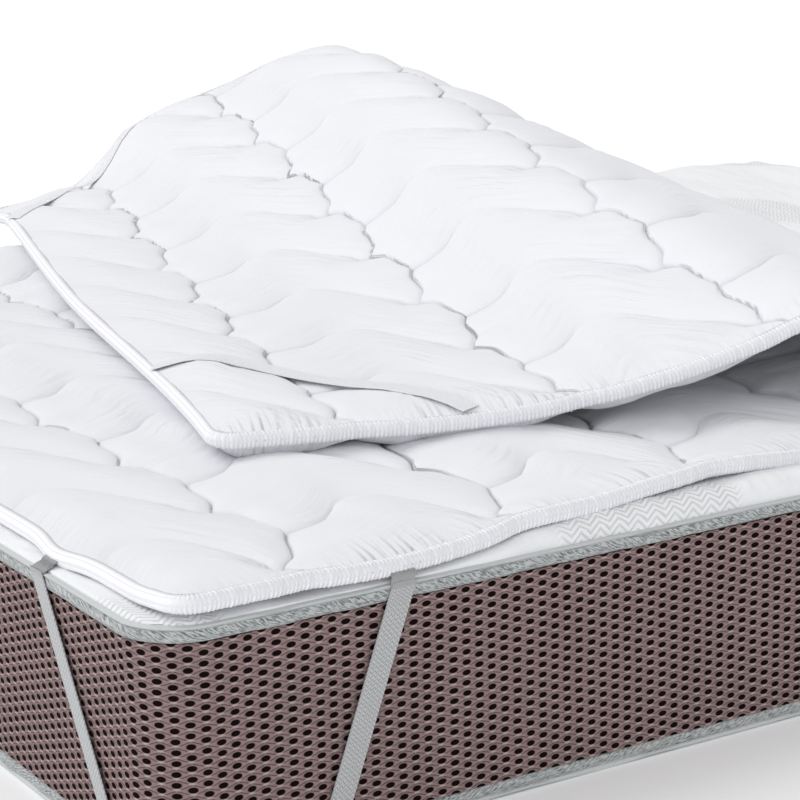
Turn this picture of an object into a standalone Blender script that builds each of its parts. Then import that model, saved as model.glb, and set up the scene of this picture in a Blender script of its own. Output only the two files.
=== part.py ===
"""Quilted mattress topper, folded half back over itself on the mattress that it fits.

Frame: metres, +Z up. The origin is the middle of the mattress's underside, X runs along the
mattress from the end where the topper lies flat, Y runs across it from the front side.
"""

from collections import namedtuple
from math import cos, pi, radians, sin

import bmesh
import bpy
import numpy as np
from mathutils import Vector
from mathutils.bvhtree import BVHTree

# Mattress
MATTRESS_LENGTH = 2.0
MATTRESS_WIDTH = 1.6
MATTRESS_HEIGHT = 0.231
MATTRESS_CORNER = 0.08
TAPE_HEIGHT = 0.0155
TAPE_DEPTH = 0.014
TAPE_PROUD = 0.002
TAPE_ROUNDING = 0.006
TAPE_ROUND_STEPS = 3
TAPE_ABOVE_PANEL = 0.0005
CORNER_STEPS = 8
GAP = 0.0003

# Topper pad, laid out flat: s runs along its length, t across its width
PAD_LENGTH = 2.0
PAD_WIDTH = 1.59
PAD_CORNER = 0.03
PAD_START = Vector((-0.979, -0.806, MATTRESS_HEIGHT + 0.0125))
SEAM_THICKNESS = 0.012
CELL_THICKNESS = 0.036
RIM_THICKNESS = 0.017
RIM_BULGE = 0.002
LAYER_SPACING = 0.037

# Rim of the lower layer along the front side: it curls up a little, more where the fold pulls it
RIM_CURL = 0.006
RIM_PULL = 0.016
RIM_PULL_START = 0.28
RIM_PULL_LENGTH = 0.15
RIM_CURL_REACH = 0.09

# Fold: a row for each line of the pad from the front rim to the back rim.
# across: place on the pad's width; lift: where the line leaves the mattress; curl: length of the
# bend that turns it back; rise: slope up to the crest, degrees; crest: distance from the folded end;
# fall: slope down from the crest, degrees; landing: length of the bend that lays it flat again.
FoldRow = namedtuple("FoldRow", "across lift curl rise crest fall landing")
FOLD = (
    FoldRow(0.00, 0.965, 0.240, 4, 0.68, 19, 0.51),
    FoldRow(0.53, 1.005, 0.275, 15, 0.60, 27, 0.39),
    FoldRow(1.06, 1.005, 0.405, 18, 0.58, 26, 0.42),
    FoldRow(1.59, 0.975, 0.605, 24, 0.62, 27, 0.39),
)
CREST_BEND = 0.10
LANDING_SEARCHES = 30
CREASE_TURN = radians(7.4)
LOWER_TURN = radians(4.5)
LOWER_TURN_START = 0.05
LOWER_TURN_LENGTH = 0.3

# Folded end: its rim bows out between the corners
END_BOW = 0.028
END_BOW_START = 0.10
END_BOW_LENGTH = 0.70
END_BOW_FINISH = 0.40

# Far rim of the folded-back half: it stands up a little, then its corner hangs past the mattress
FAR_RIM_RISE = 0.018
FAR_RIM_RISE_START = 1.55
FAR_RIM_RISE_LENGTH = 0.17
FAR_RIM_DROOP = 0.033
FAR_RIM_DROOP_START = 1.74
FAR_RIM_DROOP_LENGTH = 0.14
FAR_RIM_START = 1.30

# Quilting: columns of seams across the pad, joined by curved seams along it
COLUMN_FROM_END = 0.125
LOWER_COLUMN_FROM_END = 0.178
COLUMN_SPACING = 0.236
COLUMNS_A_HALF = 4
CELL_PITCH = 0.2
LOWER_PHASE = 0.14
FLAP_PHASE = 0.142
CELL_COLUMNS = 6
END_COLUMNS = 3
CELL_ROWS = 4
CROWN_POWER = 0.35
RIM_SNAP = 0.012
SeamPoint = namedtuple("SeamPoint", "along drift")
LONG_SEAM = (
    SeamPoint(0.00, 0.00),
    SeamPoint(0.20, -0.02),
    SeamPoint(0.40, -0.17),
    SeamPoint(0.60, -0.14),
    SeamPoint(0.75, 0.15),
    SeamPoint(0.87, 0.41),
    SeamPoint(1.00, 0.55),
)
CELL_MOUTH = (0.0, 0.275, 0.55, 0.775, 1.0)
CELL_TONGUE = (0.0, 0.225, 0.45, 0.725, 1.0)

# Elastic straps
STRAP_WIDTH = 0.025
STRAP_THICKNESS = 0.0012
STRAP_OFF_FACE = 0.004
STRAP_BEND = 0.0065
STRAP_BEND_ANGLES = (0.0, 30.0, 60.0, 90.0)
STRAP_BEND_BACK = 0.004
STRAP_UNDER = 0.0012
STRAP_UNDER_STEPS = 6
STRAP_DOWN_SHARES = (0.25, 0.5, 0.75)
TROUGH_THICKNESS = 0.0032
TROUGH_WIDTH = 0.034
TROUGH_INSET = 8
STRAP_CLEARANCE = 0.0012
STRAP_PROBES = (-0.5, -0.25, 0.0, 0.25, 0.5)
STRAP_SMOOTHINGS = 12
STRAP_SETTLINGS = 200
STRAP_SAG = 0.0001
RIM_SEARCH = 0.03
RIM_SEARCH_STEP = 0.001
RIM_INNER_SHARE = 0.75
RIM_INNER_DROP = 0.001
# A holding strap's way over the mattress edge. back: way along the mattress; out_share: share of the
# rim's overhang; out_least: least way out of the side; above: height above the edge
TuckPoint = namedtuple("TuckPoint", "back out_share out_least above")
STRAP_TUCK = (
    TuckPoint(0.000, 0.6, 0.0005, 0.0042),
    TuckPoint(0.001, 0.4, 0.0030, 0.0012),
    TuckPoint(0.003, 0.0, STRAP_OFF_FACE, -0.004),
)
# Where a holding strap leaves the edge and where it turns under, from the mattress corner
StrapEnd = namedtuple("StrapEnd", "top bottom")
HOLDING_LONG_SIDE = StrapEnd(0.249, 0.168)
HOLDING_END_SIDE = StrapEnd(0.2195, 0.0775)
RoutePoint = namedtuple("RoutePoint", "from_end across")
NEAR_FLAP_STRAP = (
    RoutePoint(0.004, 0.300),
    RoutePoint(0.045, 0.285),
    RoutePoint(0.090, 0.255),
    RoutePoint(0.130, 0.200),
    RoutePoint(0.170, 0.150),
    RoutePoint(0.215, 0.085),
    RoutePoint(0.245, 0.050),
    RoutePoint(0.275, 0.004),
)
FAR_FLAP_STRAP = (
    RoutePoint(0.004, PAD_WIDTH - 0.290),
    RoutePoint(0.060, PAD_WIDTH - 0.235),
    RoutePoint(0.120, PAD_WIDTH - 0.150),
    RoutePoint(0.180, PAD_WIDTH - 0.080),
    RoutePoint(0.240, PAD_WIDTH - 0.004),
)
STRAP_STEP = 0.012

SHEET_STEP = 0.005
SHEET_COLUMNS = 408
SHEET_ROWS = 106
SMOOTH_ANGLE = 50.0
PAD_SMOOTH_ANGLE = 70.0

Finish = namedtuple("Finish", "colour roughness")
QUILT_CLOTH = Finish((0.84, 0.84, 0.88), 0.85)
ELASTIC = Finish((0.62, 0.62, 0.64), 0.8)
TICKING = Finish((0.80, 0.79, 0.77), 0.85)
BORDER_MESH = Finish((0.23, 0.18, 0.17), 0.8)
MELANGE_TAPE = Finish((0.42, 0.41, 0.42), 0.8)


def smooth_step(x):
    """Rise from 0 to 1, level at both ends."""
    x = np.clip(x, 0.0, 1.0)
    return x * x * (3.0 - 2.0 * x)


def across_fold(name, t):
    """One column of the fold table on the smooth cubic through its rows."""
    total = np.zeros_like(t)
    for row in FOLD:
        weight = np.ones_like(t)
        for other in FOLD:
            if other is not row:
                weight = weight * (t - other.across) / (row.across - other.across)
        total = total + getattr(row, name) * weight
    return total[:, None]


def slopes(s, t):
    """Angle of travel of each line of the pad, 0 along the mattress and pi back over it."""
    lift = across_fold("lift", t)
    curl = across_fold("curl", t)
    rise = np.radians(across_fold("rise", t))
    crest = PAD_LENGTH - across_fold("crest", t)
    fall = np.radians(across_fold("fall", t))
    landing = across_fold("landing", t)
    over = (pi - rise) * smooth_step((s - lift) / curl)
    over = over + (rise + fall) * smooth_step((s - crest) / CREST_BEND + 0.5)
    early = crest
    late = np.full_like(crest, PAD_LENGTH + 1.0)
    for _ in range(LANDING_SEARCHES):
        touch = 0.5 * (early + late)
        angle = over - fall * smooth_step((s - touch) / landing)
        height = (np.sin(angle) * SHEET_STEP).sum(axis=1, keepdims=True)
        low = height < LAYER_SPACING
        late = np.where(low, touch, late)
        early = np.where(low, early, touch)
    return angle


def fold_sheet():
    """Middle surface of the folded pad as a lattice of points, with its two unit directions."""
    t = np.linspace(0.0, PAD_WIDTH, SHEET_ROWS + 1)
    s = (np.arange(SHEET_COLUMNS) + 0.5)[None, :] * SHEET_STEP
    angle = slopes(s, t)[..., None]
    turn = CREASE_TURN + LOWER_TURN * smooth_step((s - LOWER_TURN_START) / LOWER_TURN_LENGTH)
    turn = turn[..., None]
    square_on = np.array((cos(CREASE_TURN), -sin(CREASE_TURN), 0.0))
    crease = np.array((sin(CREASE_TURN), cos(CREASE_TURN), 0.0))
    upright = np.array((0.0, 0.0, 1.0))
    travel = np.cos(turn) * (np.cos(angle) * square_on + np.sin(angle) * upright)
    travel = travel + np.sin(turn) * crease
    start = np.array(PAD_START)[None, None, :] + t[:, None, None] * np.array((0.0, 1.0, 0.0))
    points = np.concatenate([start, start + np.cumsum(travel * SHEET_STEP, axis=1)], axis=1)
    lines = np.arange(SHEET_COLUMNS + 1)[None, :] * SHEET_STEP
    points[..., 2] += rim_curl(lines, t[:, None]) + far_rim_shape(lines, t[:, None])
    along = np.gradient(points, axis=1)
    side = np.gradient(points, axis=0)
    along = along / np.linalg.norm(along, axis=2, keepdims=True)
    side = side / np.linalg.norm(side, axis=2, keepdims=True)
    return points, along, side


def rim_curl(s, t):
    """Height that the lower layer's front rim stands above the layer's middle."""
    lower = 1.0 - smooth_step((s - FOLD[0].lift) / FOLD[0].curl)
    pull = RIM_CURL + RIM_PULL * smooth_step((s - RIM_PULL_START) / RIM_PULL_LENGTH)
    return lower * pull * (1.0 - smooth_step(t / RIM_CURL_REACH))


def far_rim_shape(s, t):
    """Height of the folded-back half's far rim above the level that it lies at."""
    rise = FAR_RIM_RISE * smooth_step((s - FAR_RIM_RISE_START) / FAR_RIM_RISE_LENGTH)
    drop = smooth_step((s - FAR_RIM_DROOP_START) / FAR_RIM_DROOP_LENGTH)
    height = rise - (FAR_RIM_RISE + FAR_RIM_DROOP) * drop
    return height * smooth_step((t - FAR_RIM_START) / (PAD_WIDTH - FAR_RIM_START))


def bowed(s, t):
    """Stretch the strip along the folded end so that its rim bows out."""
    share = max(s - (PAD_LENGTH - COLUMN_FROM_END), 0.0) / COLUMN_FROM_END
    swell = smooth_step((t - END_BOW_START) / END_BOW_LENGTH)
    ebb = smooth_step((PAD_WIDTH + END_BOW_START - t) / END_BOW_FINISH)
    return s + END_BOW * share * float(swell * ebb)


def on_lattice(lattice, s, t):
    """Value of a lattice at a place on the flat pad, between its four nearest points."""
    column = min(max(s / SHEET_STEP, 0.0), SHEET_COLUMNS)
    row = min(max(t / PAD_WIDTH, 0.0), 1.0) * SHEET_ROWS
    i = min(int(column), SHEET_COLUMNS - 1)
    j = min(int(row), SHEET_ROWS - 1)
    a = column - i
    b = row - j
    front = lattice[j, i] * (1.0 - a) + lattice[j, i + 1] * a
    back = lattice[j + 1, i] * (1.0 - a) + lattice[j + 1, i + 1] * a
    return Vector(front * (1.0 - b) + back * b)


def sheet_frame(sheet, s, t):
    """Point of the middle surface, its direction along and across the pad, and its normal."""
    points, along, side = sheet
    u = on_lattice(along, s, t).normalized()
    v = on_lattice(side, s, t).normalized()
    return on_lattice(points, s, t), u, v, u.cross(v).normalized()


def crown(share):
    """Fullness of a cell at a share of the way from one seam to the next."""
    return max(4.0 * share * (1.0 - share), 0.0) ** CROWN_POWER


def seam_drift(u):
    """How far a long seam has moved towards the front rim, in cell pitches."""
    return float(np.interp(u, [p.along for p in LONG_SEAM], [p.drift for p in LONG_SEAM]))


def cell_line(u, row):
    """Place of one line of the cells, in pitches towards the front rim from the lattice's origin."""
    cell, part = divmod(row, CELL_ROWS)
    inside = CELL_MOUTH[part] * (1.0 - u) + CELL_TONGUE[part] * u
    return cell + seam_drift(u) + inside


def quilt_band(flat, fullness, s_from, s_to, columns, across):
    """Add one band of cells to the flat pad; across(u, row) places its lines on the width."""
    rows = CELL_ROWS * (round(PAD_WIDTH / CELL_PITCH) + 4)
    made = bmesh.ops.create_grid(flat, x_segments=columns, y_segments=rows, size=0.5)
    for vert in made["verts"]:
        column = round((vert.co.x + 0.5) * columns)
        row = round((vert.co.y + 0.5) * rows) - rows + CELL_ROWS * 2
        share = column / columns
        t = across(share, row)
        if t < RIM_SNAP:
            t = 0.0
        if t > PAD_WIDTH - RIM_SNAP:
            t = PAD_WIDTH
        vert[fullness] = crown(share) * crown((row % CELL_ROWS) / CELL_ROWS)
        vert.co = (s_from + (s_to - s_from) * share, t, 0.0)


def flat_quilt():
    """The pad laid flat as one layer of faces, seams and rims along its edges."""
    flat = bmesh.new()
    fullness = flat.verts.layers.float.new("fullness")
    flap_share = 1.0 - COLUMN_FROM_END / COLUMN_SPACING
    lower_share = 1.0 - LOWER_COLUMN_FROM_END / COLUMN_SPACING
    whole_bands = (COLUMNS_A_HALF - 1) * COLUMN_SPACING

    def lower_line(u, row):
        return LOWER_PHASE - CELL_PITCH * cell_line(u, row)

    def flap_line(u, row):
        return FLAP_PHASE - CELL_PITCH * cell_line(1.0 - u, row)

    def middle_line(u, row):
        cell, part = divmod(row, CELL_ROWS)
        phase = LOWER_PHASE * (1.0 - u) + FLAP_PHASE * u
        return phase - CELL_PITCH * (cell + CELL_MOUTH[part])

    def end_of(share, u):
        return share + (1.0 - share) * u

    quilt_band(flat, fullness, 0.0, LOWER_COLUMN_FROM_END, END_COLUMNS,
               lambda u, row: lower_line(end_of(lower_share, u), row))
    quilt_band(flat, fullness, PAD_LENGTH, PAD_LENGTH - COLUMN_FROM_END, END_COLUMNS,
               lambda u, row: flap_line(1.0 - end_of(flap_share, u), row))
    for band in range(COLUMNS_A_HALF - 1):
        gone = band * COLUMN_SPACING
        start = LOWER_COLUMN_FROM_END + gone
        quilt_band(flat, fullness, start, start + COLUMN_SPACING, CELL_COLUMNS, lower_line)
        end = PAD_LENGTH - COLUMN_FROM_END - gone
        quilt_band(flat, fullness, end - COLUMN_SPACING, end, CELL_COLUMNS, flap_line)
    quilt_band(flat, fullness, LOWER_COLUMN_FROM_END + whole_bands,
               PAD_LENGTH - COLUMN_FROM_END - whole_bands, 2 * END_COLUMNS + 2, middle_line)
    bmesh.ops.remove_doubles(flat, verts=flat.verts[:], dist=GAP)
    loose = [edge for edge in flat.edges if not edge.link_faces]
    bmesh.ops.delete(flat, geom=loose, context="EDGES")
    return flat, fullness


def thicken(flat):
    """Turn a flat layer of faces into a closed slab between -1 and 1, with a ring half way up."""
    made = bmesh.ops.extrude_face_region(flat, geom=flat.faces[:], use_keep_orig=True)
    upper = {item for item in made["geom"] if isinstance(item, bmesh.types.BMVert)}
    for vert in flat.verts:
        vert.co.z = 1.0 if vert in upper else -1.0
    walls = [edge for edge in flat.edges if (edge.verts[0] in upper) != (edge.verts[1] in upper)]
    bmesh.ops.subdivide_edges(flat, edges=walls, cuts=1, use_grid_fill=True)


def face_outwards(body):
    """Make every face of a closed body point outwards."""
    bmesh.ops.recalc_face_normals(body, faces=body.faces[:])
    if body.calc_volume(signed=True) < 0.0:
        bmesh.ops.reverse_faces(body, faces=body.faces[:])


def round_corner(s, t):
    """Move a place near a corner of the flat pad onto its rounded corner, with the way out."""
    centre = Vector((min(max(s, PAD_CORNER), PAD_LENGTH - PAD_CORNER),
                     min(max(t, PAD_CORNER), PAD_WIDTH - PAD_CORNER)))
    off = Vector((s, t)) - centre
    if off.length == 0.0:
        return s, t, off
    reach = max(abs(off.x), abs(off.y))
    way_out = off.normalized()
    place = centre + way_out * reach
    return place.x, place.y, way_out


def on_rim(s, t):
    """True on the outline of the flat pad."""
    return min(s, PAD_LENGTH - s, t, PAD_WIDTH - t) < GAP


def pad_mesh(sheet):
    """The quilted pad as one closed body on its folded middle surface."""
    pad, fullness = flat_quilt()
    thicken(pad)
    turned_back = min(row.lift + row.curl for row in FOLD)
    for vert in pad.verts:
        flat_s, flat_t, layer = vert.co
        s, t, way_out = round_corner(flat_s, flat_t)
        point, along, side, normal = sheet_frame(sheet, bowed(s, t), t)
        if abs(layer) < 0.5:
            vert.co = point + (along * way_out.x + side * way_out.y) * RIM_BULGE
            continue
        half = SEAM_THICKNESS / 2 + (CELL_THICKNESS - SEAM_THICKNESS) / 2 * vert[fullness]
        if on_rim(flat_s, flat_t):
            half = RIM_THICKNESS / 2
        vert.co = point + normal * half * layer
        if flat_s < turned_back and layer < 0.0:
            vert.co.z = max(vert.co.z, MATTRESS_HEIGHT + TAPE_ABOVE_PANEL + GAP)
    face_outwards(pad)
    return pad


def ribbon_mesh(stations, width, thickness):
    """A flat band through stations, each a centre, a direction across and a way up."""
    band = bmesh.new()
    count = len(stations) - 1
    bmesh.ops.create_grid(band, x_segments=count, y_segments=1, size=0.5)
    made = bmesh.ops.extrude_face_region(band, geom=band.faces[:], use_keep_orig=True)
    upper = {item for item in made["geom"] if isinstance(item, bmesh.types.BMVert)}
    for vert in band.verts:
        centre, across, up = stations[round((vert.co.x + 0.5) * count)]
        out = width / 2 if vert.co.y > 0.0 else -width / 2
        lift = thickness / 2 if vert in upper else -thickness / 2
        vert.co = centre + across * out + up * lift
    face_outwards(band)
    return band


def corner_stations(corner, inward_y, pad_tree):
    """Stations of a strap from the pad's long rim, under the mattress corner, to its end rim."""
    along_x = Vector((1.0, 0.0, 0.0))
    along_y = Vector((0.0, inward_y, 0.0))
    first = side_stations(corner, along_x, along_y, HOLDING_LONG_SIDE, pad_tree)
    second = side_stations(corner, along_y, along_x, HOLDING_END_SIDE, pad_tree)
    under = []
    start = first[-1][0]
    finish = second[-1][0]
    for step in range(1, STRAP_UNDER_STEPS):
        share = step / STRAP_UNDER_STEPS
        across = (along_x * (1.0 - share) + along_y * share).normalized()
        under.append((start.lerp(finish, share), across, Vector((0.0, 0.0, -1.0))))
    return first + under + second[::-1]


def side_stations(corner, along, inward, end, pad_tree):
    """Stations of a strap down one side of the mattress, from under the rim to below the edge."""
    outward = -inward
    edge = MATTRESS_HEIGHT + TAPE_ABOVE_PANEL
    out = RIM_SEARCH
    hits = [None]
    while None in hits:
        out -= RIM_SEARCH_STEP
        below = [corner + along * (end.top + offset) + outward * out + Vector((0.0, 0.0, edge))
                 for offset in (-STRAP_WIDTH / 2, 0.0, STRAP_WIDTH / 2)]
        hits = [pad_tree.ray_cast(point, Vector((0.0, 0.0, 1.0)))[0] for point in below]
    rim_height = min(hit.z for hit in hits) - GAP - STRAP_THICKNESS / 2
    bend_centre = STRAP_UNDER + STRAP_BEND
    path = [
        (end.top, out, rim_height),
        (end.top, out * RIM_INNER_SHARE, rim_height - RIM_INNER_DROP),
    ]
    for point in STRAP_TUCK:
        path.append((end.top - point.back, max(point.out_least, out * point.out_share),
                     edge + point.above))
    face_top = path[-1][2]
    for share in STRAP_DOWN_SHARES:
        height = face_top * (1.0 - share) + bend_centre * share
        path.append((end.top + (end.bottom - end.top) * share, STRAP_OFF_FACE, height))
    for angle in STRAP_BEND_ANGLES:
        turn = radians(angle)
        path.append((end.bottom - STRAP_BEND_BACK * angle / STRAP_BEND_ANGLES[-1],
                     STRAP_OFF_FACE - STRAP_BEND * (1.0 - cos(turn)),
                     bend_centre - STRAP_BEND * sin(turn)))
    centres = []
    for place, out, height in path:
        centre = corner + along * place + outward * out
        centre.z = height
        centres.append(centre)
    handed = 1.0 if along.cross(Vector((0.0, 0.0, -1.0))).dot(outward) > 0.0 else -1.0
    stations = []
    for index, centre in enumerate(centres):
        before = centres[max(index - 1, 0)]
        after = centres[min(index + 1, len(centres) - 1)]
        travel = after - before
        travel = travel - along * travel.dot(along)
        face_out = along.cross(travel).normalized() * handed
        stations.append((centre, along, face_out))
    return stations


def flap_stations(route, sheet, pad_tree):
    """Stations of a strap that lies loose over the cells of the folded-back half."""
    corners = [Vector((PAD_LENGTH - point.from_end, point.across)) for point in route]
    places = []
    for here, there in zip(corners, corners[1:]):
        count = max(round((there - here).length / STRAP_STEP), 1)
        places += [here.lerp(there, k / count) for k in range(count)]
    places.append(corners[-1])
    for _ in range(STRAP_SMOOTHINGS):
        places[1:-1] = [(a + 2.0 * b + c) / 4.0 for a, b, c in zip(places, places[1:], places[2:])]
    frames = []
    needed = []
    for index, place in enumerate(places):
        travel = places[min(index + 1, len(places) - 1)] - places[max(index - 1, 0)]
        travel.normalize()
        point, along, side, normal = sheet_frame(sheet, bowed(place.x, place.y), place.y)
        up = -normal
        across = (side * travel.x - along * travel.y).normalized()
        tops = []
        for offset in STRAP_PROBES:
            above = point + across * STRAP_WIDTH * offset + up * CELL_THICKNESS * 2.0
            hit = pad_tree.ray_cast(above, -up)[0]
            if hit is not None:
                tops.append((hit - point).dot(up))
        frames.append((point, across, up))
        needed.append(max(tops) + STRAP_CLEARANCE + STRAP_THICKNESS / 2)
    heights = list(needed)
    for _ in range(STRAP_SETTLINGS):
        for index in range(1, len(heights) - 1):
            level = 0.5 * (heights[index - 1] + heights[index + 1]) - STRAP_SAG
            heights[index] = max(needed[index], level)
    return [(point + up * height, across, up)
            for (point, across, up), height in zip(frames, heights)]


def rounded_plate(length, width, corner, low, high):
    """A slab with rounded corners in plan."""
    plate = bmesh.new()
    bmesh.ops.create_grid(plate, x_segments=1, y_segments=1, size=0.5)
    bmesh.ops.scale(plate, verts=plate.verts[:], vec=(length, width, 1.0))
    bmesh.ops.bevel(plate, geom=plate.verts[:], offset=corner, segments=CORNER_STEPS,
                    profile=0.5, affect="VERTICES", material=-1)
    bmesh.ops.translate(plate, verts=plate.verts[:], vec=(0.0, 0.0, low))
    made = bmesh.ops.extrude_face_region(plate, geom=plate.faces[:], use_keep_orig=True)
    raised = [item for item in made["geom"] if isinstance(item, bmesh.types.BMVert)]
    bmesh.ops.translate(plate, verts=raised, vec=(0.0, 0.0, high - low))
    face_outwards(plate)
    return plate


def tape_ring(low, high):
    """The tape that binds one edge of the mattress all the way round."""
    ring = bmesh.new()
    bmesh.ops.create_grid(ring, x_segments=1, y_segments=1, size=0.5)
    bmesh.ops.scale(ring, verts=ring.verts[:], vec=(MATTRESS_LENGTH + 2 * TAPE_PROUD,
                                                    MATTRESS_WIDTH + 2 * TAPE_PROUD, 1.0))
    bmesh.ops.bevel(ring, geom=ring.verts[:], offset=MATTRESS_CORNER + TAPE_PROUD,
                    segments=CORNER_STEPS, profile=0.5, affect="VERTICES", material=-1)
    bmesh.ops.translate(ring, verts=ring.verts[:], vec=(0.0, 0.0, low))
    middle = ring.faces[:]
    bmesh.ops.inset_region(ring, faces=middle, thickness=TAPE_DEPTH + TAPE_PROUD,
                           use_boundary=True, use_even_offset=True)
    bmesh.ops.delete(ring, geom=middle, context="FACES")
    made = bmesh.ops.extrude_face_region(ring, geom=ring.faces[:], use_keep_orig=True)
    raised = [item for item in made["geom"] if isinstance(item, bmesh.types.BMVert)]
    bmesh.ops.translate(ring, verts=raised, vec=(0.0, 0.0, high - low))
    face_outwards(ring)
    outer = []
    for edge in ring.edges:
        level = abs(edge.verts[0].co.z - edge.verts[1].co.z) < GAP
        walls = [face for face in edge.link_faces if abs(face.normal.z) < 0.5]
        if level and any(wall.normal.dot(wall.calc_center_median()) > 0.0 for wall in walls):
            outer.append(edge)
    bmesh.ops.bevel(ring, geom=outer, offset=TAPE_ROUNDING, segments=TAPE_ROUND_STEPS, profile=0.5,
                    affect="EDGES", material=-1)
    return ring


def material_of(name, finish):
    """A plain material with the piece's colour and roughness."""
    material = bpy.data.materials.new(name)
    material.use_nodes = True
    shader = material.node_tree.nodes["Principled BSDF"]
    shader.inputs["Base Color"].default_value = (*finish.colour, 1.0)
    shader.inputs["Roughness"].default_value = finish.roughness
    shader.inputs["Metallic"].default_value = 0.0
    return material


def add_piece(name, mesh_source, finish, smooth_angle=SMOOTH_ANGLE):
    """Give a mesh its own object and material."""
    mesh = bpy.data.meshes.new(name)
    mesh_source.to_mesh(mesh)
    mesh_source.free()
    mesh.shade_smooth()
    mesh.set_sharp_from_angle(angle=radians(smooth_angle))
    mesh.materials.append(material_of(name + "_finish", finish))
    piece = bpy.data.objects.new(name, mesh)
    bpy.context.scene.collection.objects.link(piece)
    return piece


def cut_trough(pieces, stations, name):
    """Press the strap's way under the corner into the pieces that it crosses."""
    cutter_mesh = bpy.data.meshes.new(name)
    source = ribbon_mesh(stations, TROUGH_WIDTH, TROUGH_THICKNESS)
    source.to_mesh(cutter_mesh)
    source.free()
    cutter = bpy.data.objects.new(name, cutter_mesh)
    bpy.context.scene.collection.objects.link(cutter)
    cutter.hide_render = True
    cutter.display_type = "WIRE"
    for piece in pieces:
        cut = piece.modifiers.new(name, "BOOLEAN")
        cut.operation = "DIFFERENCE"
        cut.object = cutter


def build_mattress():
    """Border block, two panels and the two tapes that bind their edges."""
    panel_length = MATTRESS_LENGTH - 2 * (TAPE_DEPTH + GAP)
    panel_width = MATTRESS_WIDTH - 2 * (TAPE_DEPTH + GAP)
    panel_corner = MATTRESS_CORNER - TAPE_DEPTH - GAP
    under_top = MATTRESS_HEIGHT - TAPE_HEIGHT
    border = rounded_plate(MATTRESS_LENGTH, MATTRESS_WIDTH, MATTRESS_CORNER,
                           TAPE_HEIGHT + GAP, under_top - GAP)
    add_piece("mattress_border", border, BORDER_MESH)
    top = rounded_plate(panel_length, panel_width, panel_corner, under_top, MATTRESS_HEIGHT)
    add_piece("mattress_top_panel", top, TICKING)
    add_piece("mattress_top_tape", tape_ring(under_top, MATTRESS_HEIGHT + TAPE_ABOVE_PANEL),
              MELANGE_TAPE)
    base = rounded_plate(panel_length, panel_width, panel_corner, 0.0, TAPE_HEIGHT)
    panel = add_piece("mattress_bottom_panel", base, TICKING)
    tape = add_piece("mattress_bottom_tape", tape_ring(0.0, TAPE_HEIGHT), MELANGE_TAPE)
    return panel, tape


def build_topper(bottom_pieces):
    """The folded pad, the two straps that hold its flat end and the two on its folded end."""
    sheet = fold_sheet()
    pad = pad_mesh(sheet)
    pad_tree = BVHTree.FromBMesh(pad)
    add_piece("topper_pad", pad, QUILT_CLOTH, PAD_SMOOTH_ANGLE)
    for name, side in (("near", -1.0), ("far", 1.0)):
        corner = Vector((-MATTRESS_LENGTH / 2, side * MATTRESS_WIDTH / 2, 0.0))
        stations = corner_stations(corner, -side, pad_tree)
        cut_trough(bottom_pieces, stations[TROUGH_INSET:-TROUGH_INSET], "trough_" + name)
        strap = ribbon_mesh(stations, STRAP_WIDTH, STRAP_THICKNESS)
        add_piece("strap_holding_" + name, strap, ELASTIC)
    for name, route in (("near", NEAR_FLAP_STRAP), ("far", FAR_FLAP_STRAP)):
        stations = flap_stations(route, sheet, pad_tree)
        strap = ribbon_mesh(stations, STRAP_WIDTH, STRAP_THICKNESS)
        add_piece("strap_flap_" + name, strap, ELASTIC)


def main():
    """Clear the scene and build the part."""
    for item in list(bpy.data.objects):
        bpy.data.objects.remove(item, do_unlink=True)
    build_topper(build_mattress())


main()
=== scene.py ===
"""Scene of a quilted mattress topper, folded half back over itself on the mattress that it fits.

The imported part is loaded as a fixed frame: metres, +Z up, the origin in the middle of the mattress's
underside. Every soft solid of it is dressed with a finer piece in the same place.
"""

import logging
from dataclasses import dataclass, field
from enum import Enum
from math import cos, pi, radians, sin
from typing import Callable, NamedTuple, Optional, Sequence, Union

import bmesh
import bpy
import numpy as np
from mathutils import Matrix, Vector
from mathutils.bvhtree import BVHTree


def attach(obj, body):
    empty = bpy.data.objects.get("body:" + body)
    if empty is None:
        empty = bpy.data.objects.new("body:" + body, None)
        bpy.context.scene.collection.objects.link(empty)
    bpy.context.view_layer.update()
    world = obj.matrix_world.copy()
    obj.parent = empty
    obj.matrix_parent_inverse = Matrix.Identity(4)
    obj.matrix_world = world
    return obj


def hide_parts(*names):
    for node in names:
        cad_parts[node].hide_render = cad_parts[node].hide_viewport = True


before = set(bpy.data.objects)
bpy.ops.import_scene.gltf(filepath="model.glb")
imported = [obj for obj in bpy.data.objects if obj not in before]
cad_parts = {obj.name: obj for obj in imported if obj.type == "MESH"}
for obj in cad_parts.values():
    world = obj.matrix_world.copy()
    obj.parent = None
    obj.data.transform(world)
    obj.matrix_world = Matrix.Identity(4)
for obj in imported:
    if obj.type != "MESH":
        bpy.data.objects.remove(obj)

log = logging.getLogger("topper")

BODY = "root"
CLOSE = 0.00001
SHARP_ANGLE = radians(50.0)
MATTRESS_LENGTH = 2.0
MATTRESS_WIDTH = 1.6
MATTRESS_HEIGHT = 0.231
MATTRESS_CORNER = 0.06

Array = np.ndarray
Colour = tuple[float, float, float]
Knots = tuple[tuple[float, float], ...]
Run = tuple[float, float]
Station = tuple[Vector, Vector, Vector]


class Side(Enum):
    """The mattress's two long sides, as the direction of Y in which each lies."""

    NEAR = -1.0
    FAR = 1.0


class Band(Enum):
    """The parts of the quilting, from the end that lies flat to the folded end."""

    LOWER = "lower"
    MIDDLE = "middle"
    FLAP = "flap"


# ---------------------------------------------------------------------------- curves and meshes


def smooth_step(x: Array) -> Array:
    """Rise from 0 to 1, level at both ends.

    Args:
        x: Place on the rise, 0 at its start and 1 at its end.

    Returns:
        The height of the rise.
    """
    x = np.clip(x, 0.0, 1.0)
    return x * x * (3.0 - 2.0 * x)


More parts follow.
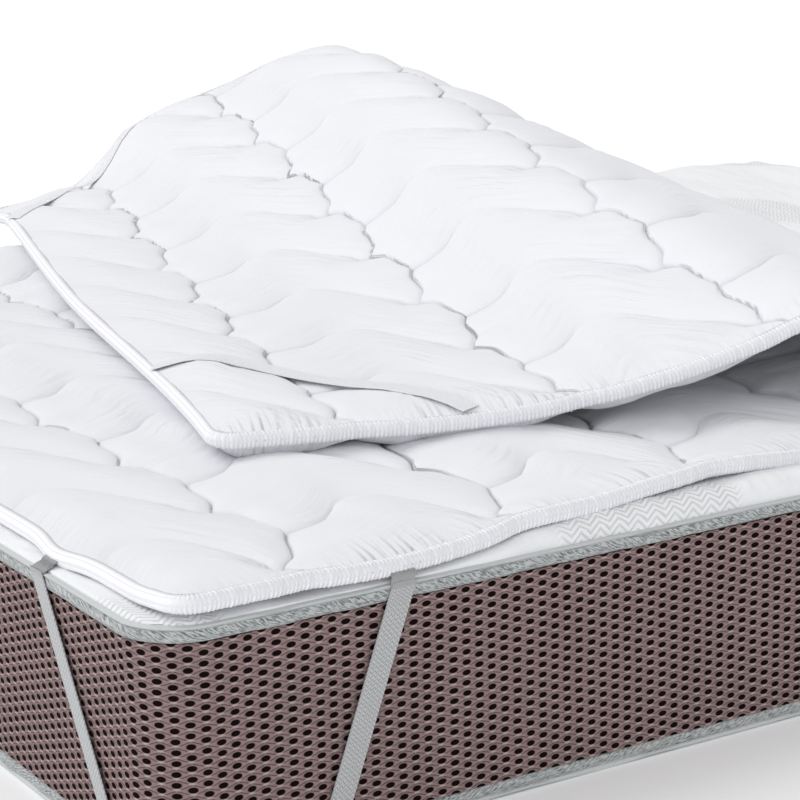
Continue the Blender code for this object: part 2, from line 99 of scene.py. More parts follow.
def ramp(x: Array, run: Run) -> Array:
    """Smooth rise from 0 where the run starts to 1 a run's length further on."""
    return smooth_step((x - run[0]) / run[1])


def through(x: Array, knots: Knots) -> Array:
    """Smooth curve through a few points.

    Args:
        x: Places at which the curve is read.
        knots: Points of the curve, in order.

    Returns:
        The curve's heights at those places.
    """
    places = np.array([knot[0] for knot in knots])
    heights = np.array([knot[1] for knot in knots])
    slopes = np.gradient(heights, places)
    x = np.clip(x, places[0], places[-1])
    i = np.clip(np.searchsorted(places, x, side="right") - 1, 0, len(places) - 2)
    step = places[i + 1] - places[i]
    r = (x - places[i]) / step
    rise = heights[i + 1] - heights[i]
    bend = (slopes[i] * step - rise) * (1.0 - r) - (slopes[i + 1] * step - rise) * r
    return heights[i] + rise * r + r * (1.0 - r) * bend


def vertex_places(mesh: bpy.types.Mesh) -> Array:
    """Places of a mesh's vertices, one row each.

    Args:
        mesh: The mesh.

    Returns:
        The places.
    """
    places = np.empty(len(mesh.vertices) * 3)
    mesh.vertices.foreach_get("co", places)
    return places.reshape(-1, 3)


def set_places(mesh: bpy.types.Mesh, places: Array) -> None:
    """Move a mesh's vertices to new places, one row each."""
    mesh.vertices.foreach_set("co", np.ascontiguousarray(places, dtype=float).ravel())
    mesh.update()


def vertex_values(mesh: bpy.types.Mesh, name: str) -> Array:
    """Values of a mesh's named number for each vertex.

    Args:
        mesh: The mesh.
        name: The number's name.

    Returns:
        The values.
    """
    values = np.empty(len(mesh.vertices))
    mesh.attributes[name].data.foreach_get("value", values)
    return values


def add_values(mesh: bpy.types.Mesh, name: str, values: Array) -> None:
    """Give a mesh a new named number for each vertex."""
    mesh.attributes.new(name, "FLOAT", "POINT").data.foreach_set("value", values)


def set_uv(mesh: bpy.types.Mesh, name: str, places: Array) -> None:
    """Lay a UV map on a mesh from one place for each vertex.

    Args:
        mesh: The mesh to dress.
        name: The UV map's name.
        places: Flat place of each vertex, one row each.
    """
    corners = np.empty(len(mesh.loops), dtype=np.int32)
    mesh.loops.foreach_get("vertex_index", corners)
    layer = mesh.uv_layers.get(name) or mesh.uv_layers.new(name=name)
    layer.data.foreach_set("uv", np.ascontiguousarray(places[corners], dtype=float).ravel())


def face_outwards(body: bmesh.types.BMesh) -> None:
    """Make every face of a closed body point outwards.

    Args:
        body: The closed body.
    """
    bmesh.ops.recalc_face_normals(body, faces=body.faces[:])
    if body.calc_volume(signed=True) < 0.0:
        bmesh.ops.reverse_faces(body, faces=body.faces[:])


def thickened(body: bmesh.types.BMesh) -> set[bmesh.types.BMVert]:
    """Give a flat body a second layer and walls between the two.

    Args:
        body: The flat body.

    Returns:
        The second layer's vertices, which lie on the first layer's.
    """
    made = bmesh.ops.extrude_face_region(body, geom=body.faces[:], use_keep_orig=True)
    return {item for item in made["geom"] if isinstance(item, bmesh.types.BMVert)}


def rounded_corners(x: Array, y: Array, low: Sequence[float], high: Sequence[float],
                    corner: float) -> tuple[Array, Array]:
    """Move places near the corners of a rectangle onto its rounded corners.

    Args:
        x: Places along the rectangle.
        y: Places across it.
        low: Its lowest corner.
        high: Its highest corner.
        corner: Radius of its corners.

    Returns:
        The new places and the directions out from the rounded corners' middles, one row each.
    """
    centre = np.stack([np.clip(x, low[0] + corner, high[0] - corner),
                       np.clip(y, low[1] + corner, high[1] - corner)], axis=1)
    off = np.stack([x, y], axis=1) - centre
    reach = np.abs(off).max(axis=1, keepdims=True)
    way = np.linalg.norm(off, axis=1, keepdims=True)
    out = np.divide(off, way, out=np.zeros_like(off), where=way > 0.0)
    return centre + out * reach, out


def add_piece(name: str, source: bmesh.types.BMesh) -> bpy.types.Object:
    """Give a mesh its own object at the origin.

    Args:
        name: The piece's name.
        source: The finished mesh, which is freed.

    Returns:
        The new object.
    """
    mesh = bpy.data.meshes.new(name)
    source.to_mesh(mesh)
    source.free()
    mesh.shade_smooth()
    piece = bpy.data.objects.new(name, mesh)
    bpy.context.scene.collection.objects.link(piece)
    return piece


def wrapped_grid(around: int, across: int, name: str) -> bmesh.types.BMesh:
    """A grid with a UV map, whose places in it say how far round a closed ring each vertex is.

    Args:
        around: Faces along the ring.
        across: Faces round the ring's section.
        name: The UV map's name.

    Returns:
        The grid, in X and Y from 0 to 1.
    """
    ring = bmesh.new()
    ring.loops.layers.uv.new(name)
    bmesh.ops.create_grid(ring, x_segments=around, y_segments=across, size=0.5, calc_uvs=True)
    bmesh.ops.translate(ring, verts=ring.verts[:], vec=(0.5, 0.5, 0.0))
    return ring


def place_grid(grid: bmesh.types.BMesh, place: Callable[[Array, Array], Array]) -> None:
    """Move a flat grid's vertices to their places and close what meets.

    Args:
        grid: A grid in X and Y.
        place: Gives the places for arrays of X and Y.
    """
    flat = np.array([vert.co[:2] for vert in grid.verts])
    for vert, co in zip(grid.verts, place(flat[:, 0], flat[:, 1])):
        vert.co = co
    bmesh.ops.remove_doubles(grid, verts=grid.verts[:], dist=CLOSE)


def scale_uv(mesh: bpy.types.Mesh, name: str, length: float, width: float) -> None:
    """Stretch a UV map from shares to metres.

    Args:
        mesh: The mesh.
        name: The UV map's name.
        length: Metres that its first share stands for.
        width: Metres that its second share stands for.
    """
    data = mesh.uv_layers[name].data
    places = np.empty(len(data) * 2)
    data.foreach_get("uv", places)
    places = places.reshape(-1, 2) * np.array((length, width))
    data.foreach_set("uv", places.ravel())


@dataclass(frozen=True)
class RoundedRectangle:
    """Outline of a rectangle with rounded corners, followed from the middle of its near side.

    Attributes:
        length: Size along X.
        width: Size along Y.
        corner: Radius of its corners.
    """

    length: float
    width: float
    corner: float

    @property
    def perimeter(self) -> float:
        """Length of the outline."""
        return 2.0 * (self.length + self.width) - (8.0 - 2.0 * pi) * self.corner

    def follow(self, distance: Array) -> tuple[Array, Array]:
        """Go along the outline.

        Args:
            distance: Way along the outline from the middle of the near side.

        Returns:
            The places reached and the directions straight out there, one row each.
        """
        straight_x = self.length - 2.0 * self.corner
        straight_y = self.width - 2.0 * self.corner
        arc = 0.5 * pi * self.corner
        runs = (straight_x, arc, straight_y, arc) * 2
        places = np.zeros(distance.shape + (2,))
        outs = np.zeros(distance.shape + (2,))
        here = np.array((-0.5 * straight_x, -0.5 * self.width))
        turned = 0.0
        gone = np.mod(distance + 0.5 * straight_x, self.perimeter)
        for number, run in enumerate(runs):
            heading = np.array((cos(turned), sin(turned)))
            out = np.array((sin(turned), -cos(turned)))
            on_run = np.logical_and(gone >= 0.0, gone <= run)
            way = gone[on_run]
            if number % 2 == 0:
                places[on_run] = here + way[:, None] * heading
                outs[on_run] = out
                here = here + heading * run
            else:
                angle = way / self.corner
                centre = here - out * self.corner
                ray = np.sin(angle)[:, None] * heading + np.cos(angle)[:, None] * out
                places[on_run] = centre + ray * self.corner
                outs[on_run] = ray
                here = centre + heading * self.corner
                turned += 0.5 * pi
            gone = gone - run
        return places, outs


# ---------------------------------------------------------------------------- finishes


@dataclass(frozen=True)
class Wire:
    """Output of a material's node. Arithmetic on it adds nodes to the same material."""

    shade: "Shade"
    socket: bpy.types.NodeSocket

    def __add__(self, other: "Value") -> "Wire":
        """This plus another value."""
        return self.shade.math("ADD", self, other)

    def __sub__(self, other: "Value") -> "Wire":
        """This less another value."""
        return self.shade.math("SUBTRACT", self, other)

    def __rsub__(self, other: "Value") -> "Wire":
        """Another value less this."""
        return self.shade.math("SUBTRACT", other, self)

    def __mul__(self, other: "Value") -> "Wire":
        """This times another value."""
        return self.shade.math("MULTIPLY", self, other)

    def __truediv__(self, other: "Value") -> "Wire":
        """This divided by another value."""
        return self.shade.math("DIVIDE", self, other)

    def __pow__(self, other: "Value") -> "Wire":
        """This to the power of another value."""
        return self.shade.math("POWER", self, other)

    def __abs__(self) -> "Wire":
        """This without its sign."""
        return self.shade.math("ABSOLUTE", self)


Value = Union[float, Wire]
Tint = Union[Colour, Wire]


class Shade:
    """Node graph of one material, with a short method for each kind of node."""

    def __init__(self, name: str, colour: Colour, roughness: float, sheen: float = 0.0,
                 specular: float = 0.25) -> None:
        """Start a material with one shader.

        Args:
            name: The material's name.
            colour: Its plain colour.
            roughness: Its roughness.
            sheen: Weight of the soft sheen of fibres.
            specular: Strength of its reflections.
        """
        self.material = bpy.data.materials.new(name)
        self.material.use_nodes = True
        self.tree = self.material.node_tree
        self.inputs = self.tree.nodes["Principled BSDF"].inputs
        plain = {"Base Color": (*colour, 1.0), "Roughness": roughness, "Metallic": 0.0,
                 "Specular IOR Level": specular, "Sheen Weight": sheen, "Sheen Roughness": 0.5}
        for socket_name, value in plain.items():
            self.inputs[socket_name].default_value = value

    def feed(self, socket: bpy.types.NodeSocket, value: object) -> None:
        """Link a socket to a wire, or set it to a number or colour.

        Args:
            socket: The socket.
            value: The wire, number or colour.
        """
        if isinstance(value, Wire):
            self.tree.links.new(value.socket, socket)
        else:
            socket.default_value = value

    def node(self, kind: str, *values: Value, **settings: str) -> bpy.types.Node:
        """Add a node.

        Args:
            kind: The node's kind.
            *values: What its first inputs get, in order.
            **settings: The node's own settings.

        Returns:
            The node.
        """
        node = self.tree.nodes.new("ShaderNode" + kind)
        for setting, chosen in settings.items():
            setattr(node, setting, chosen)
        for socket, value in zip(node.inputs, values):
            self.feed(socket, value)
        return node

    def uv(self, name: str) -> Wire:
        """Place on one of the piece's own UV maps."""
        return Wire(self, self.node("UVMap", uv_map=name).outputs["UV"])

    def object_place(self) -> Wire:
        """Place on the object in metres."""
        return Wire(self, self.node("TexCoord").outputs["Object"])

    def number(self, name: str) -> Wire:
        """A named number that the mesh holds for each vertex."""
        return Wire(self, self.node("Attribute", attribute_name=name).outputs["Fac"])

    def parts(self, vector: Wire) -> tuple[Wire, ...]:
        """The three numbers of a place."""
        return tuple(Wire(self, socket) for socket in self.node("SeparateXYZ", vector).outputs)

    def joined(self, x: Value, y: Value, z: Value = 0.0) -> Wire:
        """A place from three numbers."""
        return Wire(self, self.node("CombineXYZ", x, y, z).outputs[0])

    def math(self, operation: str, *values: Value) -> Wire:
        """One step of arithmetic on some values."""
        return Wire(self, self.node("Math", *values, operation=operation).outputs[0])

    def noise(self, place: Wire, scale: float = 1.0, detail: float = 2.0,
              roughness: float = 0.5) -> Wire:
        """Cloudy noise.

        Args:
            place: Where it is read.
            scale: Clouds in a unit of that place.
            detail: Finer layers on top.
            roughness: Strength of each finer layer.

        Returns:
            The noise, between 0 and 1.
        """
        node = self.node("TexNoise", place)
        for name, value in (("Scale", scale), ("Detail", detail), ("Roughness", roughness)):
            node.inputs[name].default_value = value
        return Wire(self, node.outputs["Fac"])

    def rise(self, value: Value, low: float, high: float, start: float = 0.0,
             end: float = 1.0) -> Wire:
        """A smooth rise from one value to another.

        Args:
            value: What it depends on.
            low: Where the rise starts.
            high: Where it ends.
            start: The result before it.
            end: The result after it.

        Returns:
            The result.
        """
        node = self.node("MapRange", value, low, high, start, end, interpolation_type="SMOOTHSTEP")
        return Wire(self, node.outputs["Result"])

    def mix(self, share: Value, first: Tint, second: Tint) -> Wire:
        """Mix two colours.

        Args:
            share: Share of the second colour.
            first: One colour.
            second: The other colour.

        Returns:
            The mixed colour.
        """
        node = self.node("Mix", data_type="RGBA")
        self.feed(node.inputs["Factor"], share)
        tinted = [socket for socket in node.inputs if socket.type == "RGBA"]
        for socket, colour in zip(tinted, (first, second)):
            self.feed(socket, (*colour, 1.0) if isinstance(colour, tuple) else colour)
        return Wire(self, next(socket for socket in node.outputs if socket.type == "RGBA"))

    def colour(self, value: Wire) -> None:
        """Give the surface a colour that varies."""
        self.feed(self.inputs["Base Color"], value)

    def relief(self, height: Wire, depth: float) -> None:
        """Add a layer of relief to the surface.

        Args:
            height: Height of the relief, 0 to 1.
            depth: Depth of the relief in metres.
        """
        node = self.node("Bump")
        node.inputs["Distance"].default_value = depth
        node.inputs["Strength"].default_value = 1.0
        self.feed(node.inputs["Height"], height)
        socket = self.inputs["Normal"]
        if socket.is_linked:
            self.tree.links.new(socket.links[0].from_socket, node.inputs["Normal"])
        self.tree.links.new(node.outputs["Normal"], socket)


@dataclass(frozen=True)
class Creases:
    """Creases that run with the curved seams, in patches.

    Attributes:
        along: Changes of a crease along a cell.
        across: Creases across a cell.
        depth: Their depth.
        patches: Patches in a metre.
        low: Noise at which a patch starts.
        high: Noise at which it is full.
        least: Share of the depth outside the patches.
    """

    along: float
    across: float
    depth: float
    patches: float
    low: float
    high: float
    least: float


@dataclass(frozen=True)
class QuiltCloth:
    """Soft brushed microfibre over fibre filling."""

    colour: Colour = (0.765, 0.77, 0.80)
    shade_colour: Colour = (0.70, 0.705, 0.745)
    # Colour and share of the painted shade along the seams, where the stitch grooves lie in shadow.
    seam_shade_colour: Colour = (0.58, 0.585, 0.63)
    seam_shade_share: float = 0.6
    roughness: float = 0.85
    nap_scale: float = 900.0
    nap_depth: float = 0.00015
    creases: tuple[Creases, ...] = (
        Creases(2.4, 11.0, 0.0032, 5.5, 0.38, 0.62, 0.15),
        Creases(3.0, 19.0, 0.0013, 9.0, 0.44, 0.64, 0.0),
    )
    crease_warp: float = 3.0
    pucker_pitch: float = 0.0085
    pucker_depth: float = 0.00035
    gather_pitch: float = 0.0085
    gather_length: float = 1.0 / 12.0
    gather_depth: float = 0.0095

    def material(self) -> bpy.types.Material:
        """Build the material, on the pad's flat map, its cells' map and its seam numbers.

        Returns:
            The material.
        """
        shade = Shade("quilt_cloth", self.colour, self.roughness, sheen=0.2)
        flat = shade.uv("flat")
        s, t, _ = shade.parts(flat)
        along, across, _ = shade.parts(shade.uv("cell"))
        seam = shade.number("seam")
        warp = shade.noise(flat, 6.0, 1.0) * self.crease_warp
        for crease in self.creases:
            run = shade.joined(along * crease.along, across * crease.across + warp)
            patch = shade.rise(shade.noise(flat, crease.patches, 1.0), crease.low, crease.high,
                               crease.least, 1.0)
            shade.relief(shade.noise(run, roughness=0.45) * patch, crease.depth)
        gathers = shade.noise(shade.joined(s * (1.0 / self.gather_pitch),
                                           t * (1.0 / self.gather_length)), detail=1.0)
        drawn = shade.number("rim") * shade.rise(shade.noise(flat, 7.0, 1.0), 0.42, 0.60, 0.15, 1.0)
        shade.relief(gathers * drawn, self.gather_depth)
        shade.relief(shade.noise(flat, 1.0 / self.pucker_pitch) * seam ** 0.7, self.pucker_depth)
        shade.relief(shade.noise(flat, self.nap_scale, 3.0, 0.6), self.nap_depth)
        tone = shade.noise(flat, 30.0, 3.0, 0.6)
        cloth = shade.mix(tone * 0.15, self.colour, self.shade_colour)
        # Painted shade: the cloth darkens towards the seam lines, for the shadow in the stitch
        # grooves.
        shade.colour(shade.mix(seam ** 1.6 * self.seam_shade_share, cloth, self.seam_shade_colour))
        return shade.material


@dataclass(frozen=True)
class OverlockThread:
    """White thread sewn close round the rim."""

    colour: Colour = (0.90, 0.90, 0.93)
    # Painted shade in the valleys between the thread turns.
    valley: Colour = (0.70, 0.705, 0.74)
    pitch: float = 0.0043
    fibre_depth: float = 0.0006
    roughness: float = 0.7

    def material(self) -> bpy.types.Material:
        """Build the material, on the band's map along the rim.

        Returns:
            The material.
        """
        shade = Shade("overlock_thread", self.colour, self.roughness, sheen=0.15)
        path = shade.uv("rim")
        along, across, _ = shade.parts(path)
        turns = along * (1.0 / self.pitch)
        ridge = abs(shade.math("SINE", turns * pi)) ** 1.6
        tone = shade.noise(shade.joined(shade.math("FLOOR", turns), 0.0), 0.73, 0.0)
        # Painted light on the ridges of the thread turns and painted shade in the valleys, each turn's
        # ridges dimmed by a random tone.
        bright = ridge * shade.rise(tone, 0.35, 0.65, 0.45, 1.0)
        plain = 1.0 - shade.number("ribbed")
        shade.colour(shade.mix(shade.math("MAXIMUM", bright, plain), self.valley, self.colour))
        fibres = shade.noise(shade.joined(along * 900.0, across * 160.0))
        shade.relief(fibres * shade.number("ribbed"), self.fibre_depth)
        shade.relief(shade.noise(path, 700.0, 1.0), 0.0002)
        return shade.material


@dataclass(frozen=True)
class ElasticWeave:
    """Light grey elastic tape with a herringbone weave."""

    colour: Colour = (0.29, 0.30, 0.31)
    light: Colour = (0.55, 0.56, 0.57)
    width: float = 0.025
    ribs: int = 10
    twill: float = 0.0019
    yarn_depth: float = 0.0004
    roughness: float = 0.8

    def material(self) -> bpy.types.Material:
        """Build the material, on the strap's own map in metres.

        Returns:
            The material.
        """
        shade = Shade("elastic_weave", self.colour, self.roughness, sheen=0.2)
        along, across, _ = shade.parts(shade.uv("strap"))
        zigzag = shade.math("PINGPONG", across * (self.ribs / self.width), 1.0)
        yarn = abs(shade.math("SINE", (along / self.twill + zigzag * 0.8) * pi))
        fuzz = shade.noise(shade.object_place(), 700.0)
        shade.colour(shade.mix(yarn * shade.rise(fuzz, 0.2, 0.7, 0.5, 1.0), self.colour, self.light))
        shade.relief(yarn, self.yarn_depth)
        shade.relief(fuzz, 0.0002)
        return shade.material


@dataclass(frozen=True)
class SpacerMesh:
    """Open spacer mesh with staggered oval holes."""

    colour: Colour = (0.240, 0.168, 0.165)
    patch_colour: Colour = (0.30, 0.20, 0.195)
    yarn_colour: Colour = (0.36, 0.30, 0.29)
    dark: Colour = (0.082, 0.059, 0.058)
    # Painted shade: near-black for the shadowed inside of the mattress seen through the holes.
    hole_shadow_colour: Colour = (0.006, 0.002, 0.002)
    # Colour of the painted highlight below each hole.
    shine_colour: Colour = (0.56, 0.43, 0.42)
    column_pitch: float = 0.0141
    row_pitch: float = 0.0100
    hole: tuple[float, float] = (0.0097, 0.0057)
    shine: tuple[float, float] = (0.0105, 0.0034)
    shine_drop: float = 0.0040
    lines_half: float = 0.042
    sway: float = 0.003
    hole_depth: float = 0.0014
    line_depth: float = 0.0006
    roughness: float = 0.85

    def spots(self, shade: Shade, along: Wire, up: Wire, size: tuple[float, float],
              drop: float) -> Wire:
        """Distance from the middle of the nearest of the staggered oval spots.

        Args:
            shade: The material in the making.
            along: Way round the mattress.
            up: Height.
            size: Width and height of a spot.
            drop: How far the spots lie below the holes' middles.

        Returns:
            The distance, 1 on a spot's edge.
        """
        away = []
        for offset in (0.0, 0.5):
            x = shade.math("FRACT", along / (2.0 * self.column_pitch) + offset) - 0.5
            y = shade.math("FRACT", (up + drop) / self.row_pitch + offset) - 0.5
            x = x * (4.0 * self.column_pitch / size[0])
            y = y * (2.0 * self.row_pitch / size[1])
            away.append(shade.math("SQRT", x * x + y * y))
        return shade.math("MINIMUM", *away)

    def lines(self, shade: Shade, along: Wire, up: Wire) -> Wire:
        """Thin threads that run in rhombs between the holes.

        Args:
            shade: The material in the making.
            along: Way round the mattress.
            up: Height.

        Returns:
            1 on a thread and 0 beside it.
        """
        a = along / (2.0 * self.column_pitch)
        b = up / self.row_pitch
        away = [abs(shade.math("FRACT", way) - 0.5) for way in (a + b, a - b)]
        return shade.rise(shade.math("MINIMUM", *away), 0.4 * self.lines_half,
                          1.6 * self.lines_half, 1.0, 0.0)

    def material(self) -> bpy.types.Material:
        """Build the material, on the border's map in metres.

        Returns:
            The material.
        """
        shade = Shade("spacer_mesh", self.colour, self.roughness, specular=0.05)
        place = shade.uv("border")
        along, up, _ = shade.parts(place)
        along = along + (shade.noise(place, 30.0, 1.0) - 0.5) * self.sway
        away = self.spots(shade, along, up, self.hole, 0.0)
        below = self.spots(shade, along, up, self.shine, self.shine_drop)
        opened = shade.rise(away, 0.86, 1.06, 1.0, 0.0)
        # Painted highlight: a light lens just below each hole, where the mesh faces up to the light.
        shine = shade.rise(below, 0.2, 1.05, 1.0, 0.0) * (1.0 - opened)
        thread = self.lines(shade, along, up)
        yarn = shade.noise(place, 700.0, 3.0, 0.6)
        patch = shade.rise(shade.noise(place, 14.0), 0.35, 0.7, 0.0, 0.3)
        cloth = shade.mix(patch, self.colour, self.patch_colour)
        cloth = shade.mix(shade.rise(yarn, 0.4, 0.75, 0.0, 0.35), cloth, self.yarn_colour)
        cloth = shade.mix(thread * 0.85, cloth, self.dark)
        cloth = shade.mix(shine * 0.85, cloth, self.shine_colour)
        # The holes are painted near-black, as the shade inside them.
        shade.colour(shade.mix(opened, cloth, self.hole_shadow_colour))
        shade.relief(1.0 - shade.rise(away, 0.7, 1.5, 1.0, 0.0), self.hole_depth)
        shade.relief(1.0 - thread, self.line_depth)
        shade.relief(yarn, 0.0003)
        return shade.material


@dataclass(frozen=True)
class MelangeTape:
    """Woven binding tape in mixed greys, with a smooth piped edge."""

    dark: Colour = (0.12, 0.13, 0.13)
    light: Colour = (0.48, 0.50, 0.50)
    bead: Colour = (0.53, 0.55, 0.55)
    yarn_depth: float = 0.0009
    wave_depth: float = 0.0012
    roughness: float = 0.8

    def material(self) -> bpy.types.Material:
        """Build the material, on the tape's map in metres.

        Returns:
            The material.
        """
        shade = Shade("melange_tape", self.light, self.roughness, sheen=0.2)
        along, across, _ = shade.parts(shade.uv("tape"))
        yarns = shade.joined(along * 105.0 + across * 70.0, across * 520.0 - along * 330.0)
        speckle = shade.noise(yarns, roughness=0.6)
        streaks = shade.noise(shade.joined(along * 60.0, across * 300.0), detail=1.0)
        dashes = (shade.rise(speckle, 0.43, 0.56, 1.0, 0.0)
                  * shade.rise(streaks, 0.3, 0.65, 1.0, 0.6))
        cloth = shade.mix(dashes, self.light, self.dark)
        bead = shade.number("bead")
        piped = shade.mix(shade.rise(speckle, 0.4, 0.7, 0.0, 0.35), self.bead, self.light)
        shade.colour(shade.mix(bead, cloth, piped))
        shade.relief(speckle * (1.15 - bead), self.yarn_depth)
        shade.relief(shade.noise(shade.joined(along * 45.0, across), detail=1.0), self.wave_depth)
        return shade.material


@dataclass(frozen=True)
class Ticking:
    """White knitted ticking with a low zigzag relief in patches."""

    colour: Colour = (0.81, 0.815, 0.835)
    # Painted shade in the trenches of the zigzag relief.
    trench_shade: Colour = (0.66, 0.66, 0.67)
    zigzag: float = 0.011
    spacing: float = 0.0085
    relief_depth: float = 0.0009
    wrinkles: tuple[float, float, float] = (34.0, 16.0, 22.0)
    wrinkle_depth: float = 0.006
    patch_turns: float = 11.0
    patch_start: float = 1.3
    patch_sway: float = 1.2
    roughness: float = 0.85

    def material(self) -> bpy.types.Material:
        """Build the material, zigzag rows in patches over knitted cloth with soft wrinkles.

        Returns:
            The material.
        """
        shade = Shade("ticking", self.colour, self.roughness, sheen=0.2)
        place = shade.object_place()
        x, y, z = shade.parts(place)
        teeth = shade.math("PINGPONG", x, self.zigzag)
        away = abs(shade.math("FRACT", (y + z + teeth) / self.spacing) - 0.5)
        turned = x * self.patch_turns + y * (0.6 * self.patch_turns)
        ragged = shade.noise(place, 9.0, 1.0) * self.patch_sway
        swing = shade.math("SINE", turned + ragged - self.patch_start)
        trench = shade.rise(away, 0.07, 0.19, 1.0, 0.0) * shade.rise(swing, 0.30, 0.62)
        folded = [part * scale for part, scale in zip((x, y, z), self.wrinkles)]
        # Painted shade darkens the trenches of the zigzag relief.
        shade.colour(shade.mix(trench * 0.55, self.colour, self.trench_shade))
        shade.relief(shade.noise(shade.joined(*folded)), self.wrinkle_depth)
        shade.relief(1.0 - trench, self.relief_depth)
        shade.relief(shade.noise(place, 500.0, 3.0, 0.6), 0.0003)
        return shade.material


@dataclass(frozen=True)
class FloorFinish:
    """Pale matte studio floor."""

    colour: Colour = (0.98, 0.985, 1.0)

    def material(self) -> bpy.types.Material:
        """Build the plain material."""
        return Shade("pale_floor", self.colour, 0.9, specular=0.0).material


# ---------------------------------------------------------------------------- the folded pad


@dataclass(frozen=True)
class FoldRow:
    """Shape of the fold along one line of the pad.

    Attributes:
        across: Place on the pad's width.
        lift: Where the line leaves the mattress.
        curl: Length of the bend that turns it back.
        rise: Slope up to the crest, degrees.
        crest: Distance of the crest from the folded end.
        fall: Slope down from the crest, degrees.
        landing: Length of the bend that lays it flat again.
    """

    across: float
    lift: float
    curl: float
    rise: float
    crest: float
    fall: float
    landing: float


@dataclass
class FoldedSheet:
    """Middle surface of the folded pad. s runs along the pad, t across it."""

    length: float = 2.0
    width: float = 1.59
    corner: float = 0.03
    start: tuple[float, float, float] = (-0.979, -0.806, MATTRESS_HEIGHT + 0.0125)
    layer_spacing: float = 0.037
    fold: tuple[FoldRow, ...] = (
        FoldRow(0.00, 0.965, 0.240, 4, 0.68, 19, 0.51),
        FoldRow(0.53, 1.005, 0.275, 15, 0.60, 27, 0.39),
        FoldRow(1.06, 1.005, 0.405, 18, 0.58, 26, 0.42),
        FoldRow(1.59, 0.975, 0.605, 24, 0.62, 27, 0.39),
    )
    rim_pull: Knots = (
        (0.00, 0.008), (0.12, 0.0072), (0.24, 0.0034), (0.31, 0.0070), (0.39, 0.0160), (0.455, 0.0158),
        (0.54, 0.0205), (0.63, 0.0216), (0.72, 0.0130), (0.80, 0.0060), (1.00, 0.0050),
    )
    flap_drop: float = 0.0025
    strap_place: float = 0.2255
    strap_half: float = 0.04
    strap_reach: float = 0.07
    strap_pull: float = 0.009
    strap_drop: float = 0.0025
    near_rim_reach: float = 0.09
    flap_run: Run = (1.30, 0.10)
    far_rim_from: float = 1.30
    far_rim_rise: float = 0.018
    far_rise_run: Run = (1.55, 0.17)
    far_rim_drop: float = 0.051
    far_drop_run: Run = (1.74, 0.14)
    bow: float = 0.028
    bow_reach: float = 0.125
    bow_run: Run = (0.10, 0.70)
    bow_fall: float = 0.40
    crest_bend: float = 0.10
    crease_turn: float = radians(7.4)
    lower_turn: float = radians(4.5)
    turn_run: Run = (0.05, 0.30)
    step: float = 0.005
    columns: int = 408
    rows: int = 318
    searches: int = 30
    points: Array = field(init=False)
    along: Array = field(init=False)
    side: Array = field(init=False)

    def __post_init__(self) -> None:
        """Work out the lattice of points and directions."""
        t = np.linspace(0.0, self.width, self.rows + 1)
        s = (np.arange(self.columns) + 0.5)[None, :] * self.step
        angle = self.slopes(s, t)[..., None]
        turn = self.crease_turn + self.lower_turn * ramp(s, self.turn_run)
        turn = turn[..., None]
        square_on = np.array((cos(self.crease_turn), -sin(self.crease_turn), 0.0))
        crease = np.array((sin(self.crease_turn), cos(self.crease_turn), 0.0))
        upright = np.array((0.0, 0.0, 1.0))
        travel = np.cos(turn) * (np.cos(angle) * square_on + np.sin(angle) * upright)
        travel = travel + np.sin(turn) * crease
        start = np.array(self.start) + t[:, None, None] * np.array((0.0, 1.0, 0.0))
        gone = np.cumsum(travel * self.step, axis=1)
        self.points = np.concatenate([start, start + gone], axis=1)
        lines = np.arange(self.columns + 1)[None, :] * self.step
        self.points[..., 2] += self.near_rim_curl(lines, t[:, None])
        self.points[..., 2] += self.far_rim_shape(lines, t[:, None])
        self.points[..., 0] -= self.strap_pull * self.strapped(lines, t[:, None])
        along = np.gradient(self.points, axis=1)
        side = np.gradient(self.points, axis=0)
        self.along = along / np.linalg.norm(along, axis=2, keepdims=True)
        self.side = side / np.linalg.norm(side, axis=2, keepdims=True)

    def across_fold(self, name: str, t: Array) -> Array:
        """One number of the fold's rows on the smooth cubic through them.

        Args:
            name: The number's name.
            t: Places across the pad.

        Returns:
            Its values there, one row each.
        """
        total = np.zeros_like(t)
        for row in self.fold:
            weight = np.ones_like(t)
            for other in self.fold:
                if other is not row:
                    weight = weight * (t - other.across) / (row.across - other.across)
            total = total + getattr(row, name) * weight
        return total[:, None]

    def slopes(self, s: Array, t: Array) -> Array:
        """Angle of travel of each line of the pad.

        Args:
            s: Places along the pad, one row.
            t: Places across it.

        Returns:
            The angles, 0 along the mattress and pi back over it.
        """
        lift = self.across_fold("lift", t)
        rise = np.radians(self.across_fold("rise", t))
        crest = self.length - self.across_fold("crest", t)
        fall = np.radians(self.across_fold("fall", t))
        landing = self.across_fold("landing", t)
        over = (pi - rise) * smooth_step((s - lift) / self.across_fold("curl", t))
        over = over + (rise + fall) * smooth_step((s - crest) / self.crest_bend + 0.5)
        early = crest
        late = np.full_like(crest, self.length + 1.0)
        for _ in range(self.searches):
            touch = 0.5 * (early + late)
            angle = over - fall * smooth_step((s - touch) / landing)
            height = (np.sin(angle) * self.step).sum(axis=1, keepdims=True)
            low = height < self.layer_spacing
            late = np.where(low, touch, late)
            early = np.where(low, early, touch)
        return angle

    def strapped(self, s: Array, t: Array) -> Array:
        """How firmly the holding strap pulls at each place of the flat end, 0 to 1."""
        near = np.exp(-((t - self.strap_place) / self.strap_half) ** 2)
        return near * (1.0 - smooth_step(s / self.strap_reach))

